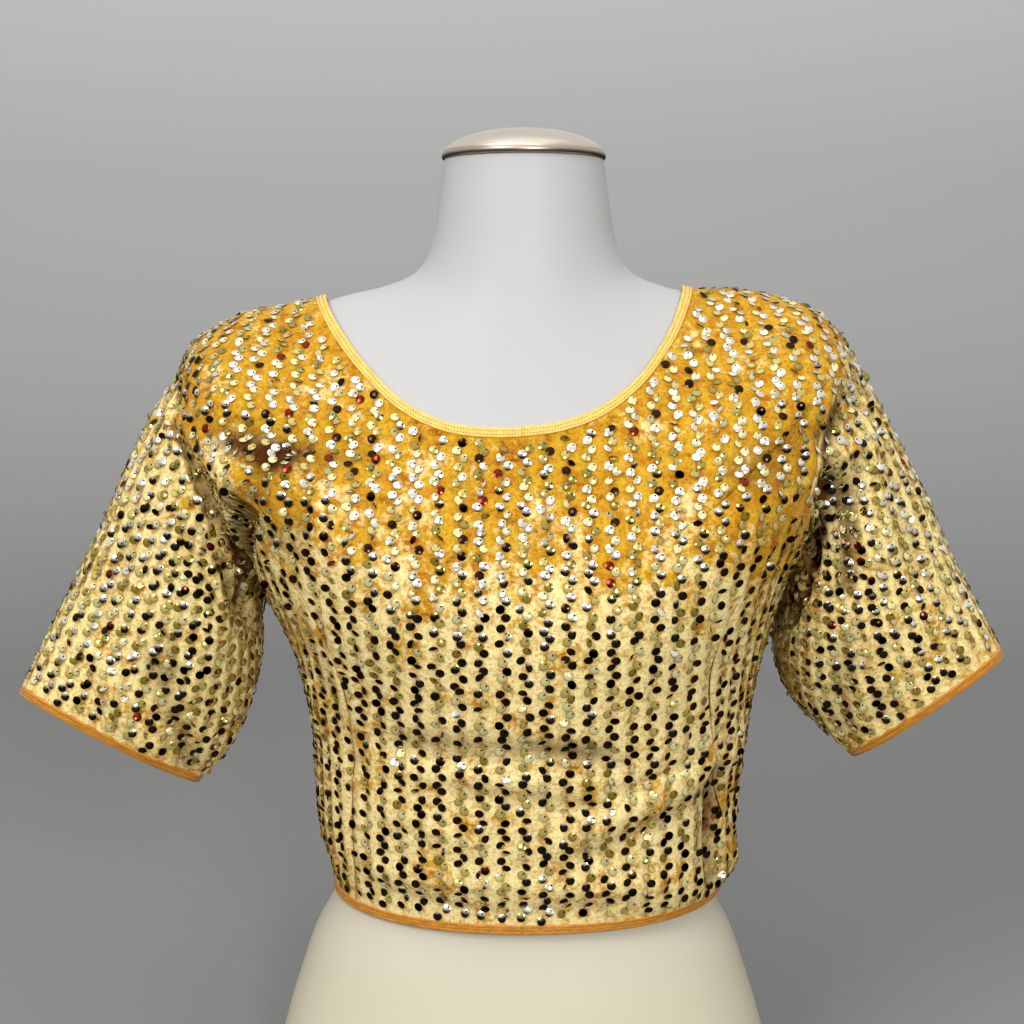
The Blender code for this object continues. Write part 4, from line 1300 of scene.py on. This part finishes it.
def add_stitches(name, lines):
    """Stitches at even steps along closed lines, each given as points with their normals."""
    places, axes = [], []
    for points, normals in lines:
        loop = np.concatenate([points, points[:1]])
        bent = np.concatenate([normals, normals[:1]])
        run = np.concatenate([[0.0], np.cumsum(np.linalg.norm(np.diff(loop, axis=0), axis=-1))])
        stops = np.linspace(0.0, run[-1], int(run[-1] / STITCH_STEP), endpoint=False)
        along = unit(np.gradient(loop, axis=0))
        found = [
            np.stack([np.interp(stops, run, value[:, k]) for k in range(3)], axis=-1)
            for value in (loop, along, bent)
        ]
        along, up = unit(found[1]), unit(found[2])
        places.append(found[0])
        axes.append(np.stack([along, np.cross(up, along), up], axis=1))
    places = np.concatenate(places)
    points, faces = stitch_shape()
    joined, joined_faces = join_copies(points, faces, places, np.concatenate(axes))
    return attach(add_object(name, joined, joined_faces, "gold_thread"), "root")


def make_body_stitches(name, edge_row, sign):
    """Two lines of stitches round the neck's or the hem's strip, in its grooves."""
    out = (BINDING_WALL - WALL) / 2 + BINDING_WALL / 2 * STITCH_OUT
    lines = []
    for across in STITCH_LINES:
        theta, points = body_strip(edge_row, sign, np.array([[across]]), out)
        lines.append((points[0], normal_of(cloth_point, theta[0], edge_row)))
    return add_stitches(name + "_stitches", lines)


def make_cuff_stitches(side):
    """Two lines of stitches round a cuff's strip, in its grooves."""
    lines = []
    phi = full_turn(BINDING_AROUND)
    for across in STITCH_LINES:
        place = cuff_place(side, phi, BINDING_WIDTH * (1 - across))
        points, normal, _ = sleeve_frame(side, phi, place)
        lines.append((points + normal * BINDING_WALL * CUFF_STITCH_OUT, normal))
    return add_stitches("cuff_binding_%s_stitches" % side, lines)


def make_body_binding(name, edge_row, sign, material):
    """Folded strip carried round the neck or the hem, one closed tube."""
    across, through = binding_profile()
    middle = (BINDING_WALL - WALL) / 2
    theta, points = body_strip(edge_row, sign, across, middle + through * BINDING_WALL / 2)
    faces = grid_faces(*theta.shape, closed=True)
    faces = np.concatenate([faces, closing_faces(*theta.shape)])
    faces = facing_out(points.reshape(-1, 3), faces)
    obj = add_object(name + "_strip", points, faces, material)
    add_uv(obj, across * BINDING_WIDTH + 0 * theta, theta * FOLD_RADIUS)
    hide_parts(name)
    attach(obj, "root")
    return obj


def closing_faces(rows, columns):
    """Cells between a profile's last point and its first, all the way round."""
    j = np.arange(columns)
    k = (j + 1) % columns
    last = (rows - 1) * columns
    return np.stack([last + j, j, k, last + k], axis=-1)


def make_cuff(side):
    """Folded strip carried round the sleeve's end, one closed tube."""
    across, through = binding_profile()
    phi = full_turn(BINDING_AROUND // 2)[None, :] + 0 * across
    place = cuff_place(side, phi, BINDING_WIDTH * (1 - across))
    points, normal, _ = sleeve_frame(side, phi, place)
    out = BINDING_WALL * (CUFF_MIDDLE + CUFF_HALF * through)
    points = points + normal * out[..., None]
    faces = grid_faces(*phi.shape, closed=True)
    faces = np.concatenate([faces, closing_faces(*phi.shape)])
    faces = facing_out(points.reshape(-1, 3), faces)
    name = "cuff_binding_" + side
    obj = add_object(name + "_strip", points, faces, "edge_strip_satin")
    add_uv(obj, across * BINDING_WIDTH + 0 * phi, phi * SLEEVE_FOLD_RADIUS)
    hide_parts(name)
    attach(obj, "root")
    return obj


def sequin_shape(diameter):
    """Shallow dome: a rim, a centre raised over it, and a back centre a film lower, as two fans."""
    turn = full_turn(SEQUIN_SIDES)
    rim = np.stack([np.cos(turn), np.sin(turn), 0 * turn], axis=-1)
    ends = [[0.0, 0.0, 2 * SEQUIN_DOME / diameter]]
    ends.append([0.0, 0.0, 2 * (SEQUIN_DOME - SEQUIN_FILM) / diameter])
    points = np.concatenate([rim, ends]) * diameter / 2
    j = np.arange(SEQUIN_SIDES)
    k = (j + 1) % SEQUIN_SIDES
    front = np.stack([0 * j + SEQUIN_SIDES, j, k], axis=-1)
    back = np.stack([0 * j + SEQUIN_SIDES + 1, k, j], axis=-1)
    return points, np.concatenate([front, back])


def lines_at(distance, targets, *values):
    """Each value read where the distance along its row reaches the targets; outside it is NaN."""
    found = []
    for value in values:
        rows = [
            np.interp(targets, d, v, left=np.nan, right=np.nan) for d, v in zip(distance, value)
        ]
        found.append(np.array(rows))
    return found


def run_from_middle(points):
    """Distance along each row of a grid from its middle point: the sum of the steps between."""
    length = np.linalg.norm(np.diff(points, axis=1), axis=-1)
    far = np.concatenate([np.zeros((len(points), 1)), np.cumsum(length, axis=1)], axis=1)
    return far - far[:, [points.shape[1] // 2]]


@functools.lru_cache(maxsize=2)
def body_contours(centre):
    """Angle, ring and distance round the cloth from a centre line, at even steps of height."""
    theta = centre + np.linspace(-CONTOUR_REACH, CONTOUR_REACH, CONTOUR_POINTS)
    rings = np.linspace(*CONTOUR_RINGS, CONTOUR_POINTS - 1)
    table = cloth_over_ring(theta[:, None] + 0 * rings, rings[None, :] + 0 * theta[:, None])
    heights = np.arange(CONTOUR_TOP, CONTOUR_LOW, -CONTOUR_STEP)
    ring = np.array([np.interp(-heights, -column[:, 2], rings) for column in table]).T
    angle = theta[None, :] + 0 * ring
    return angle, ring, run_from_middle(cloth_over_ring(angle, ring)[..., :2])


def walk_lines(first, second, place_of, pitch, start):
    """Places at equal steps down two lines by turns, so that a row zigzags between them."""
    points = place_of(first)
    length = np.linalg.norm(np.diff(points, axis=0), axis=-1)
    run = np.concatenate([[0.0], np.cumsum(length)])
    stops = np.arange(start % pitch, run[-1], pitch)
    turns = np.arange(len(stops)) % 2
    found = []
    for a, b in zip(first, second):
        found.append(np.where(turns == 0, np.interp(stops, run, a), np.interp(stops, run, b)))
    return found, turns


def inside_panel(name, theta, ring):
    """True where a point lies inside a panel's four edges, by at least the sewing margins."""
    rows_left, rows_right, left, right = panel_edges(name)
    aside = angle_shift(theta, ring, SEAM_MARGIN)
    strip = BINDING_WIDTH + BINDING_GAP + SEQUIN_MARGIN
    first = NECK_RING + row_shift(theta, NECK_RING, strip)
    last = HEM_RING - row_shift(theta, HEM_RING, strip)
    within = (ring > cloth_ring(theta, first)) & (ring < last)
    if "side" in name:
        within &= ring > rows_left[0]
    within &= theta - aside > np.interp(ring, rows_left, left)
    return within & (theta + aside < np.interp(ring, rows_right, right))


def sew_rows(far, values, place_of, pitch, step, zigzag):
    """Both values and the turn of each sequin, in rows a pitch apart from the centre line.

    A row runs by turns down two lines, half the zigzag to each side of its own distance.
    """
    found = []
    for number in range(-ROWS_ASIDE, ROWS_ASIDE + 1):
        at = [number * pitch - zigzag / 2, number * pitch + zigzag / 2]
        lines = lines_at(far, at, *values)
        whole = np.isfinite(lines[0]).all(axis=1)
        if whole.sum() > 3:
            first, second = ([line[whole, k] for line in lines] for k in (0, 1))
            places, turns = walk_lines(first, second, place_of, step, number * ROW_OFFSET)
            found.append([*places, turns])
    return [np.concatenate(values) for values in zip(*found)]


def body_sequin_places(centre, *sizes):
    """Angle, ring and turn of each sequin round a centre line."""
    angle, ring, far = body_contours(centre)
    return sew_rows(far, (angle, ring), lambda p: cloth_over_ring(*p), *sizes)


def sleeve_sequin_places(side, *sizes):
    """Angle, place and turn of each sequin of a sleeve, in rows counted from its top line."""
    rows = np.linspace(*SLEEVE_ROW_ENDS, SLEEVE_ROW_POINTS)[:, None]
    phi = np.linspace(-math.pi, math.pi, CONTOUR_POINTS)[None, :]
    grid = (phi + 0 * rows, rows + 0 * phi)
    far = run_from_middle(sleeve_surface(side, *grid))
    phi, place, turns = sew_rows(far, grid, lambda p: sleeve_surface(side, *p), *sizes)
    keep = place < cuff_place(side, phi, BINDING_WIDTH + BINDING_GAP + SEQUIN_MARGIN)
    return phi[keep], place[keep], turns[keep]


def add_sequins(name, places, normal, down, turns, nod, seed):
    """Discs on the cloth, each tipped a little at random and to its own side of the zigzag."""
    chance = np.random.default_rng(seed)
    count = len(places)
    up = unit(-down)
    aside = unit(np.cross(up, normal))
    spread = np.where(chance.random(count) < LOOSE_SHARE, LOOSE_SPREAD, FIRM_SPREAD)
    lean = np.where(turns == 0, ZIGZAG_LEAN, -ZIGZAG_LEAN)
    lean = lean + chance.normal(0.0, 1.0, count) * spread
    nod = nod + chance.normal(0.0, 1.0, count) * spread
    facing = unit(normal + aside * lean[:, None] + up * nod[:, None])
    aside = unit(np.cross(up, facing))
    up = np.cross(facing, aside)
    lift = WALL / 2 + LEAST_LIFT + chance.uniform(0.0, LIFT_SPREAD, count)
    points, faces = sequin_shape(bpy.context.scene.blouse_sizes.sequin)
    axes = np.stack([aside, up, facing], axis=1)
    shift = chance.normal(0.0, PLACE_SPREAD, (count, 2))
    middle = places + normal * lift[:, None] + aside * shift[:, :1] + up * shift[:, 1:]
    joined, joined_faces = join_copies(points, faces, middle, axes)
    obj = add_object(name + "_sequins", joined, joined_faces, "sequin_film")
    obj.data.set_sharp_from_angle(angle=math.radians(80))
    flat = np.tile(points[None, :, :2], (count, 1, 1))
    add_uv(obj, flat[..., 0], flat[..., 1])
    tints, shares, films = (np.array(column) for column in zip(*SEQUIN_TINTS))
    pick = chance.choice(len(shares), count, p=shares / shares.sum())
    colours = np.array([linear(str(tint)) for tint in tints])[pick]
    layer = obj.data.attributes.new("tint", "FLOAT_COLOR", "POINT")
    layer.data.foreach_set("color", np.repeat(colours, len(points), axis=0).ravel())
    add_values(obj, "clear", np.repeat(films[pick], len(points)))
    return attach(obj, "root")


class BlouseSizes(bpy.types.PropertyGroup):
    """Sizes of what is sewn on the cloth."""

    sequin: bpy.props.FloatProperty(
        name="Sequin width", description="Diameter of a sequin", default=0.0056, unit="LENGTH"
    )
    pitch: bpy.props.FloatProperty(
        name="Row pitch", description="From one row to the next", default=0.0126, unit="LENGTH"
    )
    step: bpy.props.FloatProperty(
        name="Step", description="From one sequin to the next in a row", default=0.005,
        unit="LENGTH",
    )
    zigzag: bpy.props.FloatProperty(
        name="Zigzag", description="Sideways swing of a row", default=0.0033, unit="LENGTH"
    )


def colour_property(name, description, hex_colour):
    """A colour of the settings, given as an sRGB hex colour and kept linear."""
    return bpy.props.FloatVectorProperty(
        name=name, description=description, subtype="COLOR", size=4, min=0.0, max=1.0,
        default=linear(hex_colour),
    )


class BlouseColours(bpy.types.PropertyGroup):
    """Colours of the cloth, the trims and the form."""

    # Gold and pale pile are painted sheen of one velvet: gold where it faces up, pale where it
    # turns down; the sleeve pile is the sleeves' pale
    gold: colour_property("Gold pile", "Velvet on the yoke and shoulders", "#D6A82A")
    orange: colour_property("Orange pile", "Mottling of that gold", "#BE7A16")
    pale: colour_property("Pale pile", "Velvet where its pile is brushed pale", "#FAE6A2")
    sleeve: colour_property("Sleeve pile", "Velvet of the sleeves", "#FEEAA2")
    # Dark pile tints the random specks of the pile, and also the painted shadow along the sequin
    # rows and the painted shade of small creases
    dark: colour_property("Dark pile", "Tint of velvet seen into its pile", "#C29A48")
    # Deep folds is the painted shade in the folds and inside the armpits
    deep: colour_property("Deep folds", "Tint of velvet deep in a fold", "#5E3A1C")
    neck: colour_property("Neck satin", "Strip round the neck", "#F6CE66")
    neck_shade: colour_property("Neck satin shade", "Ripples of that strip", "#D9A03A")
    edge: colour_property("Edge satin", "Strips of the hem and the cuffs", "#D58E26")
    edge_shade: colour_property("Edge satin shade", "Ripples of those strips", "#8E5412")
    white: colour_property("Form white", "Paint of the form's neck and chest", "#BCBBBB")
    # Form ivory is painted shade: the warmer tone of the shaded hips
    ivory: colour_property("Form ivory", "Paint of the form's hips", "#D0C8B0")
    nickel: colour_property("Cap nickel", "Plating of the neck cap", "#E2D8C9")
    # Cap brown is a painted reflection at the cap's rim
    brown: colour_property("Cap brown", "Tarnish at the cap's rim", "#7A5A40")
    paper: colour_property("Backdrop", "Paper behind and under the form", "#DADADA")


class BLOUSE_OT_materials(bpy.types.Operator):
    """Makes the materials of every piece"""

    bl_idname = "blouse.materials"
    bl_label = "Materials"

    def execute(self, context):
        c = context.scene.blouse_colours
        velvet_material("gold_velvet", c.gold, c.orange, c.pale, c.dark, c.deep)
        velvet_material("sleeve_velvet", c.gold, c.orange, c.sleeve, c.dark, c.deep)
        satin_material("neck_strip_satin", c.neck, c.neck_shade)
        satin_material("edge_strip_satin", c.edge, c.edge_shade)
        form_material(c.white, c.ivory)
        nickel_material(c.nickel, c.brown)
        sequin_material()
        # Dark brown: the thread's own colour together with painted shade of the needle holes that
        # it lies in
        thread_material("gold_thread", linear("#6E4A14"))
        return {"FINISHED"}


class BLOUSE_OT_form(bpy.types.Operator):
    """Makes the dress form's torso and its neck cap"""

    bl_idname = "blouse.form"
    bl_label = "Dress form"

    def execute(self, context):
        make_form_pieces()
        make_cap_piece()
        return {"FINISHED"}


class BLOUSE_OT_panels(bpy.types.Operator):
    """Makes the front, the side fronts and the back in velvet"""

    bl_idname = "blouse.panels"
    bl_label = "Body panels"

    def execute(self, context):
        make_panel("front_centre", 220)
        make_panel("front_side_left", 48)
        make_panel("front_side_right", 48)
        make_panel("back", 240)
        return {"FINISHED"}


class BLOUSE_OT_sleeves(bpy.types.Operator):
    """Makes the two half sleeves in velvet"""

    bl_idname = "blouse.sleeves"
    bl_label = "Sleeves"

    def execute(self, context):
        make_sleeve_piece("left")
        make_sleeve_piece("right")
        return {"FINISHED"}


class BLOUSE_OT_bindings(bpy.types.Operator):
    """Makes the folded satin strips of the neck, the hem and the cuffs"""

    bl_idname = "blouse.bindings"
    bl_label = "Bindings"

    def execute(self, context):
        make_body_binding("neck_binding", NECK_RING, 1.0, "neck_strip_satin")
        make_body_binding("hem_binding", HEM_RING, -1.0, "edge_strip_satin")
        make_cuff("left")
        make_cuff("right")
        make_body_stitches("neck_binding", NECK_RING, 1.0)
        make_body_stitches("hem_binding", HEM_RING, -1.0)
        make_cuff_stitches("left")
        make_cuff_stitches("right")
        return {"FINISHED"}


class BLOUSE_OT_sequins(bpy.types.Operator):
    """Makes the rows of sequins of every panel and sleeve"""

    bl_idname = "blouse.sequins"
    bl_label = "Sequins"

    def execute(self, context):
        s = context.scene.blouse_sizes
        sizes = (s.pitch, s.step, s.zigzag)
        front = body_sequin_places(0.0, *sizes)
        back = body_sequin_places(math.pi, *sizes)
        panels = ("front_centre", "front_side_left", "front_side_right", "back")
        for seed, name in enumerate(panels):
            theta, ring, turns = back if name == "back" else front
            keep = inside_panel(name, theta, ring)
            theta, ring, turns = theta[keep], ring[keep], turns[keep]
            places = cloth_over_ring(theta, ring)
            normal = normal_of(cloth_over_ring, theta, ring)
            down = unit(slope(cloth_over_ring, theta, ring, 0, 1))
            add_sequins(name, places, normal, down, turns, BODY_NOD, seed)
        for seed, side in enumerate(("left", "right")):
            phi, place, turns = sleeve_sequin_places(side, *sizes)
            places, normal, down = sleeve_frame(side, phi, place)
            places = places - normal * WALL / 2
            add_sequins("sleeve_" + side, places, normal, down, turns, SLEEVE_NOD, 10 + seed)
        return {"FINISHED"}


# Paper sweep: nearest edge, where the floor starts to rise, radius of the rise, half width
# and top, and how far it lies under the base
SWEEP_NEAR = -4.0
SWEEP_BEND = 1.2
SWEEP_RADIUS = 0.8
SWEEP_HALF_WIDTH = 4.0
SWEEP_TOP = 4.0
SWEEP_DROP = 0.0005

# Square lamps: name, place, point aimed at, size and power
LAMPS = (
    ("Overhead", (0.0, -0.5, 2.4), (0.0, 0.0, 0.4), 2.2, 9.0),
    ("Key", (-1.3, -1.9, 1.9), (0.0, 0.0, 0.35), 1.0, 30.0),
    ("Fill", (0.42, -1.95, 0.98), (0.0, 0.0, 0.35), 0.34, 17.0),
)

# Camera worked out from the photo: place, tilt in degrees, film and lens in millimetres
CAMERA_PLACE = (-0.0074, -1.0, 0.52)
CAMERA_TILT = 7.08
CAMERA_FILM = 36.0
CAMERA_LENS = 54.9

# Room light: the heights where it is dim and bright, its two colours, and its strength
ROOM_HEIGHTS = (-0.05, 0.36)
ROOM_COLOURS = ("#1E1610", "#F2F2F0")
ROOM_STRENGTH = 0.9


class BLOUSE_OT_stage(bpy.types.Operator):
    """Makes the paper sweep, the lights, the world and the camera"""

    bl_idname = "blouse.stage"
    bl_label = "Stage"

    def execute(self, context):
        stage_material("paper", context.scene.blouse_colours.paper)
        turn = np.linspace(0.0, math.pi / 2, 24)
        wall = SWEEP_BEND + SWEEP_RADIUS
        y = np.concatenate([[SWEEP_NEAR], SWEEP_BEND + SWEEP_RADIUS * np.sin(turn), [wall]])
        z = np.concatenate([[0.0], SWEEP_RADIUS * (1 - np.cos(turn)), [SWEEP_TOP]]) - SWEEP_DROP
        x = np.array([-SWEEP_HALF_WIDTH, SWEEP_HALF_WIDTH])
        points = np.stack(np.broadcast_arrays(x[None], y[:, None], z[:, None]), axis=-1)
        sweep = add_object("paper_sweep", points, grid_faces(len(y), 2, flip=True), "paper")
        for name, place, aim, size, power in LAMPS:
            data = bpy.data.lights.new(name, "AREA")
            data.shape = "SQUARE"
            data.size = size
            data.energy = power
            lamp = bpy.data.objects.new(name, data)
            lamp.location = place
            direction = Vector(aim) - Vector(place)
            lamp.rotation_euler = direction.to_track_quat("-Z", "Y").to_euler()
            context.scene.collection.objects.link(lamp)
        sweep.visible_glossy = False
        make_world()
        data = bpy.data.cameras.new("Camera")
        data.sensor_width = CAMERA_FILM
        data.lens = CAMERA_LENS
        camera = bpy.data.objects.new("Camera", data)
        camera.location = CAMERA_PLACE
        camera.rotation_euler = (math.radians(90.0 - CAMERA_TILT), 0.0, 0.0)
        context.scene.collection.objects.link(camera)
        context.scene.camera = camera
        context.scene.view_settings.view_transform = "Standard"
        return {"FINISHED"}


def make_world():
    """Room light that falls from bright overhead to dim below, by the direction's height."""
    world = bpy.data.worlds.new("Room")
    bpy.context.scene.world = world
    world.use_nodes = True
    tree = world.node_tree
    background = tree.nodes["Background"]
    share = remap(tree, height_of(tree, "Generated"), *ROOM_HEIGHTS)
    colour = mix_colours(tree, share, *(linear(colour) for colour in ROOM_COLOURS))
    tree.links.new(colour, background.inputs["Color"])
    background.inputs["Strength"].default_value = ROOM_STRENGTH


OPERATORS = (
    BLOUSE_OT_materials,
    BLOUSE_OT_form,
    BLOUSE_OT_panels,
    BLOUSE_OT_sleeves,
    BLOUSE_OT_bindings,
    BLOUSE_OT_sequins,
    BLOUSE_OT_stage,
)


class BLOUSE_PT_panel(bpy.types.Panel):
    """Lists the steps and the values"""

    bl_idname = "BLOUSE_PT_panel"
    bl_label = "Choli blouse"
    bl_space_type = "VIEW_3D"
    bl_region_type = "UI"
    bl_category = "Blouse"

    def draw(self, context):
        for values in (context.scene.blouse_sizes, context.scene.blouse_colours):
            box = self.layout.box()
            for name in values.__annotations__:
                box.prop(values, name)
        for operator in OPERATORS:
            self.layout.operator(operator.bl_idname)


CLASSES = (BlouseSizes, BlouseColours, *OPERATORS, BLOUSE_PT_panel)


def register():
    """Registers the classes, and puts both groups of settings on the scene."""
    for cls in CLASSES:
        bpy.utils.register_class(cls)
    bpy.types.Scene.blouse_sizes = bpy.props.PointerProperty(type=BlouseSizes)
    bpy.types.Scene.blouse_colours = bpy.props.PointerProperty(type=BlouseColours)


def unregister():
    """Takes them away again, the last one first."""
    del bpy.types.Scene.blouse_colours
    del bpy.types.Scene.blouse_sizes
    for cls in reversed(CLASSES):
        bpy.utils.unregister_class(cls)


def main():
    """Runs every step in order."""
    register()
    for operator in OPERATORS:
        group, name = operator.bl_idname.split(".")
        getattr(getattr(bpy.ops, group), name)()


if __name__ == "__main__":
    main()
